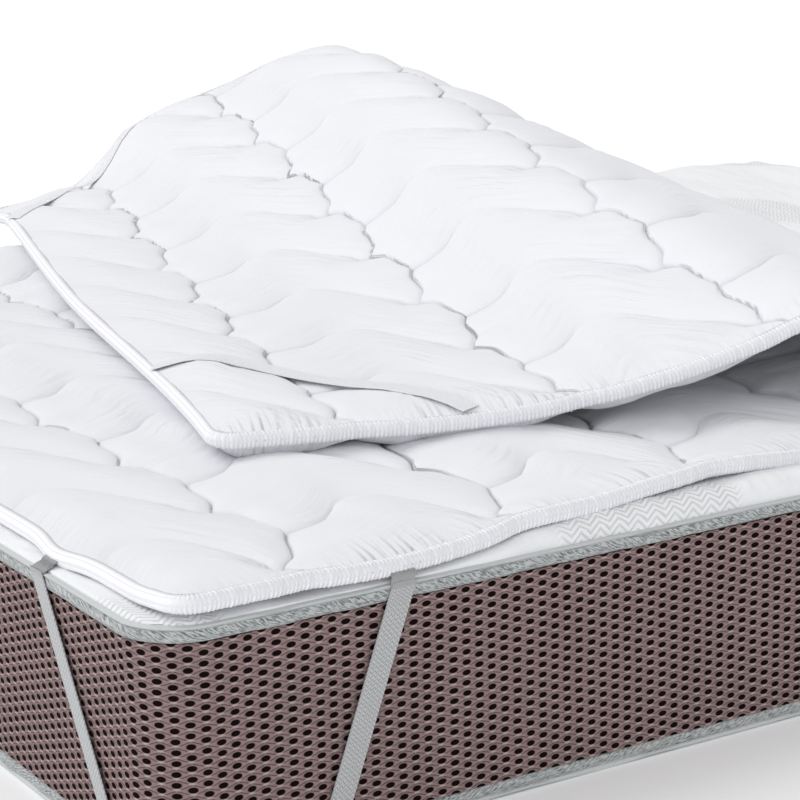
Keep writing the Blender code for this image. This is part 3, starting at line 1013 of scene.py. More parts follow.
    def near_rim_curl(self, s: Array, t: Array) -> Array:
        """Height of the near rim above the middle of its layer.

        Args:
            s: Places along the pad.
            t: Places across it.

        Returns:
            The height added at each place.
        """
        lower = 1.0 - smooth_step((s - self.fold[0].lift) / self.fold[0].curl)
        pull = lower * through(s, self.rim_pull) - self.flap_drop * ramp(s, self.flap_run)
        pull = pull * (1.0 - smooth_step(t / self.near_rim_reach))
        return pull - self.strap_drop * self.strapped(s, t)

    def far_rim_shape(self, s: Array, t: Array) -> Array:
        """Height of the folded-back half's far rim above the level that it lies at.

        Args:
            s: Places along the pad.
            t: Places across it.

        Returns:
            The height added at each place.
        """
        rise = self.far_rim_rise * ramp(s, self.far_rise_run)
        drop = self.far_rim_drop * ramp(s, self.far_drop_run)
        return (rise - drop) * smooth_step((t - self.far_rim_from) / (self.width - self.far_rim_from))

    def bowed(self, s: Array, t: Array) -> Array:
        """Stretch the strip along the folded end so that its rim bows out.

        Args:
            s: Places along the pad.
            t: Places across it.

        Returns:
            The new places along the pad.
        """
        share = np.maximum(s - (self.length - self.bow_reach), 0.0) / self.bow_reach
        past_rim = self.width + self.bow_run[0] - t
        swell = ramp(t, self.bow_run) * smooth_step(past_rim / self.bow_fall)
        return s + self.bow * share * swell

    def place(self, s: Array, t: Array) -> tuple[Array, ...]:
        """Points of the middle surface with their directions.

        Args:
            s: Places along the pad.
            t: Places across it.

        Returns:
            The points, the directions along and across the pad, and the normals, one row each.
        """
        column = np.clip(self.bowed(s, t) / self.step, 0.0, self.columns)
        row = np.clip(t / self.width, 0.0, 1.0) * self.rows
        i = np.minimum(column.astype(int), self.columns - 1)
        j = np.minimum(row.astype(int), self.rows - 1)
        a = (column - i)[:, None]
        b = (row - j)[:, None]
        found = []
        for lattice in (self.points, self.along, self.side):
            front = lattice[j, i] * (1.0 - a) + lattice[j, i + 1] * a
            back = lattice[j + 1, i] * (1.0 - a) + lattice[j + 1, i + 1] * a
            found.append(front * (1.0 - b) + back * b)
        point, along, side = found
        along = along / np.linalg.norm(along, axis=1, keepdims=True)
        side = side / np.linalg.norm(side, axis=1, keepdims=True)
        normal = np.cross(along, side)
        normal = normal / np.linalg.norm(normal, axis=1, keepdims=True)
        return point, along, side, normal


class Column(NamedTuple):
    """One curved seam across the pad.

    Attributes:
        place: Its place along the pad.
        facing: Direction along the pad in which its curves open.
        phase: Start of its curves on the pad's width.
        rim_shift: How far it bends towards the flat end at the near rim.
    """

    place: float
    facing: float
    phase: float
    rim_shift: float


@dataclass(frozen=True)
class QuiltPattern:
    """Seams of the quilting on the flat pad: columns across it, joined by curved seams along it."""

    column_from_end: float = 0.125
    lower_column_from_end: float = 0.174
    rim_shifts: tuple[float, float] = (0.042, 0.030)
    rim_fade: float = 0.14
    spacing: float = 0.236
    columns_a_half: int = 4
    pitch: float = 0.2
    phases: tuple[float, float] = (0.14, 0.142)
    mouth_share: float = 0.55
    faces_a_band: int = 23
    faces_a_middle: int = 27
    faces_a_cell: int = 28
    row_crowding: float = 0.80
    column_crowding: float = 0.72
    free_from: float = 0.3
    crown_power: float = 0.40
    drawn_in: float = 0.0045
    drawn_reach: float = 0.022
    drawn_depth: float = 0.05
    wander_reach: float = 0.36
    long_seam: Knots = (
        (0.00, 0.00), (0.13, 0.00), (0.27, -0.055), (0.41, -0.205), (0.55, -0.205), (0.66, -0.04),
        (0.76, 0.19), (0.87, 0.42), (0.94, 0.53), (1.00, 0.55),
    )
    column_wander: Knots = (
        (0.00, -0.060), (0.05, -0.020), (0.10, 0.010), (0.18, 0.020), (0.30, 0.030), (0.41, 0.050),
        (0.45, 0.056), (0.50, 0.040), (0.57, 0.020), (0.70, 0.013), (0.79, 0.010), (0.87, -0.006),
        (0.94, -0.040), (1.00, -0.060),
    )
    tightness: Knots = (
        (0.0, 1.0), (0.26, 0.92), (0.41, 0.62), (0.55, 0.42), (0.66, 0.50), (0.80, 0.85), (1.0, 1.0),
    )
    stitching: Knots = (
        (0.0, 1.0), (0.26, 0.95), (0.38, 0.35), (0.5, 0.05), (0.66, 0.15), (0.78, 0.8), (1.0, 1.0),
    )

    @property
    def mouth_rows(self) -> int:
        """Rows of faces in the part of a cell that meets the next cell's mouth."""
        return round(self.mouth_share * self.faces_a_cell)

    def crown(self, share: Array) -> Array:
        """Fullness of a cell at a share of the way from one seam to the next."""
        return np.maximum(4.0 * share * (1.0 - share), 0.0) ** self.crown_power

    def inside(self, u: Array, part: Array) -> Array:
        """Place of a line of faces inside its cell.

        Args:
            u: Share of the way across the band.
            part: Number of the line in its cell.

        Returns:
            The share of a cell's pitch.
        """
        rows = self.faces_a_cell
        mouth = np.interp(part, (0, self.mouth_rows, rows), (0.0, self.mouth_share, 1.0))
        tongue = np.interp(part, (0, rows - self.mouth_rows, rows),
                           (0.0, 1.0 - self.mouth_share, 1.0))
        even = part / rows
        close = even - self.row_crowding * np.sin(2.0 * pi * even) / (2.0 * pi)
        free = smooth_step(u / self.free_from) * smooth_step((1.0 - u) / self.free_from)
        return (mouth * (1.0 - u) + tongue * u) * (1.0 - free) + close * free

    def line(self, u: Array, row: Array) -> Array:
        """Place of one line of faces, in pitches towards the near rim."""
        cell, part = np.divmod(row, self.faces_a_cell)
        return cell + through(u, self.long_seam) + self.inside(u, part)

    def across(self, band: Band, u: Array, row: Array) -> Array:
        """Place on the pad's width of one line of faces.

        Args:
            band: The part of the quilting.
            u: Share of the way across the band.
            row: Number of the line.

        Returns:
            The distance from the near rim.
        """
        lower, flap = self.phases
        if band is Band.LOWER:
            return lower - self.pitch * self.line(u, row)
        if band is Band.FLAP:
            return flap - self.pitch * self.line(1.0 - u, row)
        cell, part = np.divmod(row, self.faces_a_cell)
        phase = lower * (1.0 - u) + flap * u
        mouth = np.interp(part, (0, self.mouth_rows, self.faces_a_cell),
                          (0.0, self.mouth_share, 1.0))
        return phase - self.pitch * (cell + mouth)

    def columns(self, number: int, length: float) -> tuple[float, float]:
        """Places along the pad of a seam across it, on the lower layer and on the flap."""
        way = number * self.spacing
        return self.lower_column_from_end + way, length - self.column_from_end - way

    def all_columns(self, length: float) -> list[Column]:
        """Every seam across the pad, in pairs from its ends.

        Args:
            length: The pad's length.

        Returns:
            The seams.
        """
        pairs = [self.columns(number, length) for number in range(self.columns_a_half)]
        return [Column(*column) for pair in pairs
                for column in zip(pair, (1.0, -1.0), self.phases, self.rim_shifts)]

    def wander(self, s: Array, t: Array, length: float) -> Array:
        """How far the seams across the pad wander along it.

        Args:
            s: Places along the pad.
            t: Places across it.
            length: The pad's length.

        Returns:
            The way that each place moves along the pad.
        """
        moved = np.zeros_like(s)
        for column in self.all_columns(length):
            v = np.mod(1.0 - self.mouth_share + (column.phase - t) / self.pitch, 1.0)
            away = np.abs(s - column.place)
            near = 1.0 - smooth_step(away / (self.wander_reach * self.spacing))
            moved += column.facing * near * self.spacing * through(v, self.column_wander)
        return moved

    def rim_bend(self, s: Array, t: Array, length: float) -> Array:
        """How far the seams across the pad bend along it at the near rim.

        Args:
            s: Places along the pad.
            t: Places across it.
            length: The pad's length.

        Returns:
            The way that each place moves along the pad.
        """
        moved = np.zeros_like(s)
        for column in self.all_columns(length):
            near = 1.0 - smooth_step(np.abs(s - column.place) / (0.5 * self.spacing))
            moved -= column.rim_shift * near * (1.0 - smooth_step(t / self.rim_fade))
        return moved

    def scalloped(self, s: Array, t: Array, sheet: FoldedSheet) -> Array:
        """Place across the pad once the seams have drawn its long rims in.

        Args:
            s: Places along the pad.
            t: Places across it.
            sheet: The pad's middle surface.

        Returns:
            The places across the pad.
        """
        near = 1.0 - smooth_step(t / self.drawn_depth)
        far = 1.0 - smooth_step((sheet.width - t) / self.drawn_depth)
        drawn = np.zeros_like(s)
        for column in self.all_columns(sheet.length):
            away = s - column.place
            drawn += near * np.exp(-((away + column.rim_shift) / self.drawn_reach) ** 2)
            drawn -= far * np.exp(-(away / self.drawn_reach) ** 2)
        return t + self.drawn_in * drawn


@dataclass
class TickingShape:
    """Height of the mattress's top, which puffs up where the topper leaves it free."""

    edge_puff: float = 0.0036
    curl_puff: float = 0.0215
    curl_run: Run = (-0.74, 0.22)
    edge_reach: float = 0.018
    covered_run: Run = (0.045, 0.045)
    bare_run: Run = (0.28, 0.12)
    bare_slant: float = 0.12
    bare_puff: float = 0.027
    edge_drop: float = 0.0015
    edge_rise: float = 0.002
    dome_reach: float = 0.11
    dome_change: float = 0.12
    near_run: Run = (0.60, 0.12)
    bulge_drop: float = 0.42
    bulge_run: Run = (-0.30, 0.16)
    end_run: Run = (0.90, 0.04)
    fold_depth: float = 0.0016

    def inward(self, x: Array, y: Array) -> Array:
        """Distance inwards from the mattress's outline.

        Args:
            x: Places along the mattress.
            y: Places across it.

        Returns:
            The distances.
        """
        half_length = MATTRESS_LENGTH / 2
        half_width = MATTRESS_WIDTH / 2
        ax = np.maximum(np.abs(x) - (half_length - MATTRESS_CORNER), 0.0)
        ay = np.maximum(np.abs(y) - (half_width - MATTRESS_CORNER), 0.0)
        straight = np.minimum(half_length - np.abs(x), half_width - np.abs(y))
        cornered = np.logical_and(ax > 0.0, ay > 0.0)
        return np.where(cornered, MATTRESS_CORNER - np.hypot(ax, ay), straight)

    def height(self, x: Array, y: Array) -> Array:
        """Height of the ticking above the floor.

        Args:
            x: Places along the mattress.
            y: Places across it.

        Returns:
            The heights.
        """
        inward = self.inward(x, y)
        share = np.clip(inward / self.edge_reach, 0.0, 1.0)
        roll = np.sqrt(np.maximum(1.0 - (1.0 - share) ** 2, 0.0))
        bare = ramp(x + self.bare_slant * y, self.bare_run)
        covered = 1.0 - ramp(inward, self.covered_run)
        waves = np.sin(23.0 * x + 4.0 * y) * np.sin(17.0 * y - 5.0 * x)
        dome = smooth_step(inward / self.dome_reach) * (1.0 + self.dome_change * waves)
        near = ramp(-y, self.near_run) * ramp(x, self.curl_run)
        near = near * (1.0 - self.bulge_drop * ramp(x, self.bulge_run))
        rim_puff = self.edge_puff + (self.curl_puff - self.edge_puff) * near
        folds = 0.6 * np.sin(78.0 * x + 2.0 * np.sin(13.0 * x))
        folds = folds + 0.4 * np.sin(61.0 * y + 2.0 * np.sin(11.0 * y))
        puff = rim_puff * (covered * (1.0 - bare) + bare) + self.bare_puff * bare * dome
        end = ramp(-x, self.end_run)
        puff = puff + self.fold_depth * folds * (np.maximum(near, end) * covered + bare)
        return MATTRESS_HEIGHT - self.edge_drop + roll * (self.edge_rise + puff)


@dataclass
class TopperPad:
    """The quilted pad: both covers, its filling and its rolled rim, in one closed body."""

    sheet: FoldedSheet
    pattern: QuiltPattern
    ticking: TickingShape
    cloth: QuiltCloth = QuiltCloth()
    seam_half: float = 0.0046
    cell_half: float = 0.0200
    under_half: float = 0.0180
    hem_half: float = 0.0245
    hem_width: float = 0.2
    hem_from: float = 0.6
    under_swell: float = 0.004
    crest_swell: float = 0.009
    crest_reach: float = 0.16
    crest_before: float = 0.10
    crest_from: float = 0.35
    crest_end: float = 1.35
    crest_fade: float = 0.3
    under_place: tuple[float, float] = (0.50, 0.29)
    under_size: tuple[float, float] = (0.22, 0.12)
    rim_half: float = 0.0066
    rim_bulge: float = 0.002
    rim_start: float = 0.006
    rim_reach: float = 0.050
    rim_power: float = 0.6
    hem_reach: float = 0.020
    rim_lines: tuple[float, ...] = (0.0, 0.007, 0.011, 0.020, 0.034)
    gather_reach: float = 0.075
    gap: float = 0.0003
    loose_valley: float = 2.5
    puff_change: float = 0.10
    puff_waves: tuple[int, float, float] = (9, 0.16, 0.40)
    fine_change: float = 0.0009
    fine_waves: tuple[int, float, float] = (14, 0.035, 0.09)
    rim_hold: float = 0.03
    seam_fade: float = 0.014
    same_place: float = 0.0002
    on_cut: float = 0.0004
    seed: int = 7

    def band(self, flat: bmesh.types.BMesh, kind: Band, s_from: float, s_to: float,
             columns: int, number: int, u_from: float = 0.0, u_to: float = 1.0) -> None:
        """Add one band of cells to the flat pad.

        Args:
            flat: The flat pad in the making.
            kind: The part of the quilting.
            s_from: Where the band starts along the pad.
            s_to: Where it ends.
            columns: Faces across the band.
            number: Number of the band, counted from the end of the pad.
            u_from: Share of a whole band at its start.
            u_to: Share of a whole band at its end.
        """
        layers = flat.verts.layers.float
        full, seam, cell_u, cell_q = (layers[name] for name in ("full", "seam", "cell_u", "cell_q"))
        pattern = self.pattern
        rows = pattern.faces_a_cell * (round(self.sheet.width / pattern.pitch) + 4)
        made = bmesh.ops.create_grid(flat, x_segments=columns, y_segments=rows, size=0.5)["verts"]
        flat_places = np.array([vert.co[:2] for vert in made])
        column = np.rint((flat_places[:, 0] + 0.5) * columns)
        row = np.rint((flat_places[:, 1] + 0.5) * rows) - rows + pattern.faces_a_cell * 2
        share = column / columns
        part = np.mod(row, pattern.faces_a_cell)
        if kind is Band.MIDDLE:
            u = share
            run = 2.0 * np.minimum(share, 1.0 - share)
            q = part / pattern.faces_a_cell
            tight = sewn = np.ones_like(u)
        else:
            share = share - pattern.column_crowding * np.sin(2.0 * pi * share) / (2.0 * pi)
            u = u_from + (u_to - u_from) * share
            run = 1.0 - u if kind is Band.FLAP else u
            q = pattern.inside(run, part)
            tight = through(run, pattern.tightness)
            sewn = through(run, pattern.stitching)
        t = pattern.across(kind, u, row)
        s = s_from + (s_to - s_from) * share
        valley = pattern.crown(q) ** (1.0 + self.loose_valley * (1.0 - tight))
        fullness = pattern.crown(share) * (1.0 - tight * (1.0 - valley))
        on_long = np.where(part == 0, sewn, 0.0)
        on_column = np.where(np.logical_or(share < CLOSE, share > 1.0 - CLOSE), 1.0, 0.0)
        cells = q + np.floor(row / pattern.faces_a_cell)
        values = zip(made, s, t, fullness, np.maximum(on_long, on_column), number + run, cells)
        for vert, s_here, t_here, full_here, seam_here, u_here, q_here in values:
            vert.co = (s_here, t_here, 0.0)
            vert[full] = full_here
            vert[seam] = seam_here
            vert[cell_u] = u_here
            vert[cell_q] = q_here

    def flat_quilt(self) -> bmesh.types.BMesh:
        """The pad laid flat as one layer of faces.

        Returns:
            The flat pad, with the cells' numbers on its vertices.
        """
        flat = bmesh.new()
        for name in ("full", "seam", "cell_u", "cell_q"):
            flat.verts.layers.float.new(name)
        pattern = self.pattern
        length = self.sheet.length
        low, high = pattern.columns(0, length)
        for kind, start, end in ((Band.LOWER, 0.0, low), (Band.FLAP, high, length)):
            share = (end - start) / pattern.spacing
            faces = round(pattern.faces_a_band * share)
            ends = (1.0 - share, 1.0) if kind is Band.LOWER else (0.0, share)
            self.band(flat, kind, start, end, faces, -1, *ends)
        for number in range(pattern.columns_a_half - 1):
            low, high = pattern.columns(number, length)
            self.band(flat, Band.LOWER, low, low + pattern.spacing, pattern.faces_a_band, number)
            self.band(flat, Band.FLAP, high - pattern.spacing, high, pattern.faces_a_band, number)
        low, high = pattern.columns(pattern.columns_a_half - 1, length)
        self.band(flat, Band.MIDDLE, low, high, pattern.faces_a_middle,
                  pattern.columns_a_half - 1)
        bmesh.ops.remove_doubles(flat, verts=flat.verts[:], dist=self.same_place)
        for inset in self.rim_lines:
            for rim, out in ((0.0, -1.0), (self.sheet.width, 1.0)):
                everything = flat.verts[:] + flat.edges[:] + flat.faces[:]
                bmesh.ops.bisect_plane(flat, geom=everything, plane_co=(0.0, rim - out * inset, 0.0),
                                       plane_no=(0.0, out, 0.0), clear_outer=inset == 0.0,
                                       dist=self.on_cut)
        loose = [edge for edge in flat.edges if not edge.link_faces]
        bmesh.ops.delete(flat, geom=loose, context="EDGES")
        return flat

    def thicken(self, flat: bmesh.types.BMesh) -> None:
        """Turn the flat layer into a closed slab between -1 and 1, with a ring half way up.

        Args:
            flat: The flat pad.
        """
        upper = thickened(flat)
        for vert in flat.verts:
            vert.co.z = 1.0 if vert in upper else -1.0
        walls = [edge for edge in flat.edges if (edge.verts[0] in upper) != (edge.verts[1] in upper)]
        bmesh.ops.subdivide_edges(flat, edges=walls, cuts=1, use_grid_fill=True)

    def noise(self, s: Array, t: Array, waves: int, low: float, high: float) -> Array:
        """Gentle unevenness of the filling, the same each time.

        Args:
            s: Places along the pad.
            t: Places across it.
            waves: Number of waves laid over each other.
            low: Shortest wavelength.
            high: Longest wavelength.

        Returns:
            The unevenness, about -1 to 1.
        """
        chance = np.random.default_rng(self.seed)
        total = np.zeros_like(s)
        for _ in range(waves):
            heading = chance.uniform(0.0, 2.0 * pi)
            wave = 2.0 * pi / chance.uniform(low, high)
            shift = chance.uniform(0.0, 2.0 * pi)
            total += np.sin((s * cos(heading) + t * sin(heading)) * wave + shift)
        return total / np.sqrt(waves)

    def half_thickness(self, s: Array, t: Array, full: Array, edge: Array, shown: Array,
                       hem: Array) -> Array:
        """Half the pad's thickness at each of its points.

        Args:
            s: Places along the pad.
            t: Places across it.
            full: Fullness of the cells there, 0 on a seam and 1 in a cell's middle.
            edge: Distance from the rim.
            shown: Whether a point is on the faces that the fold leaves in view.
            hem: Whether it is on the lower face of the folded-back half.

        Returns:
            The way from the middle surface to each point.
        """
        length = self.sheet.length
        cell_half = np.where(shown, self.cell_half, self.under_half)
        raised = np.logical_and(hem, edge < self.hem_width)
        cell_half = np.where(raised, self.hem_half, cell_half)
        uneven = 1.0 + self.puff_change * self.noise(s, t, *self.puff_waves)
        half = self.seam_half + (cell_half - self.seam_half) * full * uneven
        half = half + full * self.fine_change * self.noise(s, t, *self.fine_waves)
        crest = length - self.sheet.across_fold("crest", t)[:, 0] - self.crest_before
        swell = np.exp(-((s - crest) / self.crest_reach) ** 2)
        swell = swell * smooth_step((self.crest_end - t) / self.crest_fade)
        swell = swell * smooth_step(t / self.crest_from)
        half = half + self.crest_swell * swell * shown
        (middle_s, middle_t), (size_s, size_t) = self.under_place, self.under_size
        under = np.exp(-((s - middle_s) / size_s) ** 2 - ((t - middle_t) / size_t) ** 2)
        half = half + self.under_swell * under * full * shown
        reach = np.where(hem, self.hem_reach, self.rim_reach) - self.rim_start
        inner = np.clip((edge - self.rim_start) / reach, 0.0, 1.0) ** self.rim_power
        return self.rim_half * (1.0 - inner) + np.maximum(half, self.seam_half) * inner

    def build(self) -> bpy.types.Object:
        """Returns:
            The finished pad.
        """
        flat = self.flat_quilt()
        self.thicken(flat)
        face_outwards(flat)
        piece = add_piece("topper_quilted_pad", flat)
        mesh = piece.data
        flat_s, flat_t, layer = vertex_places(mesh).T
        full, cell_u, cell_q = (vertex_values(mesh, name) for name in ("full", "cell_u", "cell_q"))
        sheet = self.sheet
        long_edge = np.minimum(flat_t, sheet.width - flat_t)
        edge = np.minimum(np.minimum(flat_s, sheet.length - flat_s), long_edge)
        loose = smooth_step(edge / self.rim_hold)
        moved = flat_s + self.pattern.wander(flat_s, flat_t, sheet.length) * loose
        moved = moved + self.pattern.rim_bend(flat_s, flat_t, sheet.length)
        rounded, out = rounded_corners(moved, flat_t, (0.0, 0.0), (sheet.length, sheet.width),
                                       sheet.corner)
        s, t = rounded.T
        t = self.pattern.scalloped(s, t, sheet)
        shown = np.where(flat_s < sheet.length / 2, 1.0, -1.0) * layer > 0.0
        hem = np.logical_and(~shown, flat_s > sheet.length * self.hem_from)
        half = self.half_thickness(s, t, full, edge, shown, hem)
        point, along, side, normal = sheet.place(s, t)
        places = point + normal * (half * layer)[:, None]
        wall = np.abs(layer) < 0.5
        bulge = (along * out[:, :1] + side * out[:, 1:]) * self.rim_bulge
        places = np.where(wall[:, None], point + bulge, places)
        turned_back = min(row.lift + row.curl for row in sheet.fold)
        lower = np.logical_and(layer < 0.0, flat_s < turned_back)
        floor = self.ticking.height(places[:, 0], places[:, 1]) + self.gap
        places[:, 2] = np.where(lower, np.maximum(places[:, 2], floor), places[:, 2])
        set_places(mesh, places)
        seam = vertex_values(mesh, "seam") * ramp(edge, (self.rim_start, self.seam_fade))
        mesh.attributes["seam"].data.foreach_set("value", seam)
        set_uv(mesh, "flat", np.stack([s, t], axis=1))
        set_uv(mesh, "cell", np.stack([cell_u, cell_q], axis=1))
        rim = (1.0 - smooth_step(long_edge / self.gather_reach)) ** 2
        add_values(mesh, "rim", rim)
        piece.data.materials.append(self.cloth.material())
        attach(piece, BODY)
        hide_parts("topper_pad")
        return piece


@dataclass
class Overlock:
    """Thread sewn close round the pad's rim, as one ribbed band that wraps it."""

    sheet: FoldedSheet
    pattern: QuiltPattern
    thread: OverlockThread = OverlockThread()
    inset: float = 0.0055
    reach: float = 0.0071
    half: float = 0.0079
    rib: float = 0.0008
    rib_range: tuple[float, float] = (0.5, 1.2)
    slant: float = 0.0016
    sway: float = 0.35
    sway_size: float = 0.0008
    end_rib: float = 0.05
    map_width: float = 0.03
    squareness: float = 0.55
    faces_a_thread: int = 5
    section: int = 9
    wrap: float = radians(105.0)
    seed: int = 3

    def build(self) -> bpy.types.Object:
        """Build the band along the whole rim.

        Returns:
            The finished band.
        """
        outline = RoundedRectangle(self.sheet.length, self.sheet.width, self.sheet.corner)
        threads = round(outline.perimeter / self.thread.pitch)
        ring = wrapped_grid(threads * self.faces_a_thread, self.section, "rim")
        chance = np.random.default_rng(self.seed)
        strength = chance.uniform(*self.rib_range, threads + 1)
        sway = chance.uniform(-self.sway, self.sway, threads + 1)
        middle = np.array((self.sheet.length / 2, self.sheet.width / 2))
        ribbed = ring.verts.layers.float.new("ribbed")
        _, outs = outline.follow(np.array([vert.co.x for vert in ring.verts]) * outline.perimeter)
        for vert, out in zip(ring.verts, outs):
            vert[ribbed] = self.end_rib + (1.0 - self.end_rib) * abs(out[1])

        def place(x: Array, y: Array) -> Array:
            """Place the vertices of the grid.

            Args:
                x: Shares of the way round.
                y: Shares of the way across the band.

            Returns:
                The places, one row each.
            """
            turn = np.mod(x, 1.0) * threads
            number = np.minimum(turn.astype(int), threads)
            round_section = np.rint(y * self.section).astype(int) % self.section
            shell = np.linspace(-self.wrap, self.wrap, self.section - 1)
            outer = round_section < self.section - 1
            angle = np.where(outer, shell[np.minimum(round_section, self.section - 2)], 0.0)
            sewn = np.abs(outline.follow(x * outline.perimeter)[1][:, 1])
            rib = np.sin(np.mod(turn, 1.0) * pi) * strength[number] * self.rib * outer
            rib = rib * (self.end_rib + (1.0 - self.end_rib) * sewn)
            slant = self.slant + sway[number] * self.sway_size
            slanted = x * outline.perimeter + np.sin(angle) * slant
            flat, out = outline.follow(slanted)
            flat = flat + middle
            square = np.sign(np.cos(angle)) * np.abs(np.cos(angle)) ** self.squareness
            across = np.where(outer, (self.reach + rib) * square, 0.0)
            height = np.where(outer, (self.half + rib) * np.sin(angle), 0.0)
            away = across - self.inset
            s, t = (flat + out * np.minimum(away, 0.0)[:, None]).T
            t = self.pattern.scalloped(s, t, self.sheet)
            point, along, side, normal = self.sheet.place(s, t)
            way = along * out[:, :1] + side * out[:, 1:]
            return point + way * np.maximum(away, 0.0)[:, None] + normal * height[:, None]

        place_grid(ring, place)
        face_outwards(ring)
        piece = add_piece("topper_overlock", ring)
        scale_uv(piece.data, "rim", outline.perimeter, self.map_width)
        piece.data.materials.append(self.thread.material())
        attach(piece, BODY)
        return piece


# ---------------------------------------------------------------------------- straps


@dataclass
class Strap:
    """A flat elastic strap, with what both kinds of strap share."""

    name: str
    node: str
    pad_tree: BVHTree
    weave: ElasticWeave = ElasticWeave()
    thickness: float = 0.0012
    faces_across: int = 6

    def ribbon(self, stations: Sequence[Station], held: str,
               rests_on: Sequence[str]) -> bpy.types.Object:
        """Args:
            stations: Centre, direction across and way up at each step of the strap.
            held: How the strap is held; not used.
            rests_on: Names of what it lies on or hangs from; not used.

        Returns:
            The finished strap.
        """
        count = len(stations) - 1
        length = sum((b[0] - a[0]).length for a, b in zip(stations, stations[1:]))
        band = bmesh.new()
        band.loops.layers.uv.new("strap")
        bmesh.ops.create_grid(band, x_segments=count, y_segments=self.faces_across, size=0.5,
                              calc_uvs=True)
        upper = thickened(band)
        for vert in band.verts:
            centre, across, up = stations[round((vert.co.x + 0.5) * count)]
            lift = self.thickness / 2 if vert in upper else -self.thickness / 2
            vert.co = centre + across * vert.co.y * self.weave.width + up * lift
        face_outwards(band)
        piece = add_piece(self.name, band)
        piece.data.set_sharp_from_angle(angle=SHARP_ANGLE)
        scale_uv(piece.data, "strap", length, self.weave.width)
        piece.data.materials.append(self.weave.material())
        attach(piece, BODY)
        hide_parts(self.node)
        return piece

    def finer(self, stations: Sequence[Station], times: int) -> list[Station]:
        """Put more stations on the smooth curve through a few.

        Args:
            stations: The strap's stations.
            times: Steps between two of them.

        Returns:
            The finer stations.
        """
        centres = [Vector(station[0]) for station in stations]
        fine = []
        for index in range(len(stations) - 1):
            a = centres[max(index - 1, 0)]
            b = centres[index]
            c = centres[index + 1]
            d = centres[min(index + 2, len(stations) - 1)]
            for k in range(times):
                r = k / times
                start = (c - a) * 0.5
                end = (d - b) * 0.5
                centre = (b * (2 * r ** 3 - 3 * r ** 2 + 1) + start * (r ** 3 - 2 * r ** 2 + r)
                          + c * (3 * r ** 2 - 2 * r ** 3) + end * (r ** 3 - r ** 2))
                across = stations[index][1].lerp(stations[index + 1][1], r).normalized()
                up = stations[index][2].lerp(stations[index + 1][2], r).normalized()
                fine.append((centre, across, up))
        fine.append(tuple(stations[-1]))
        return fine


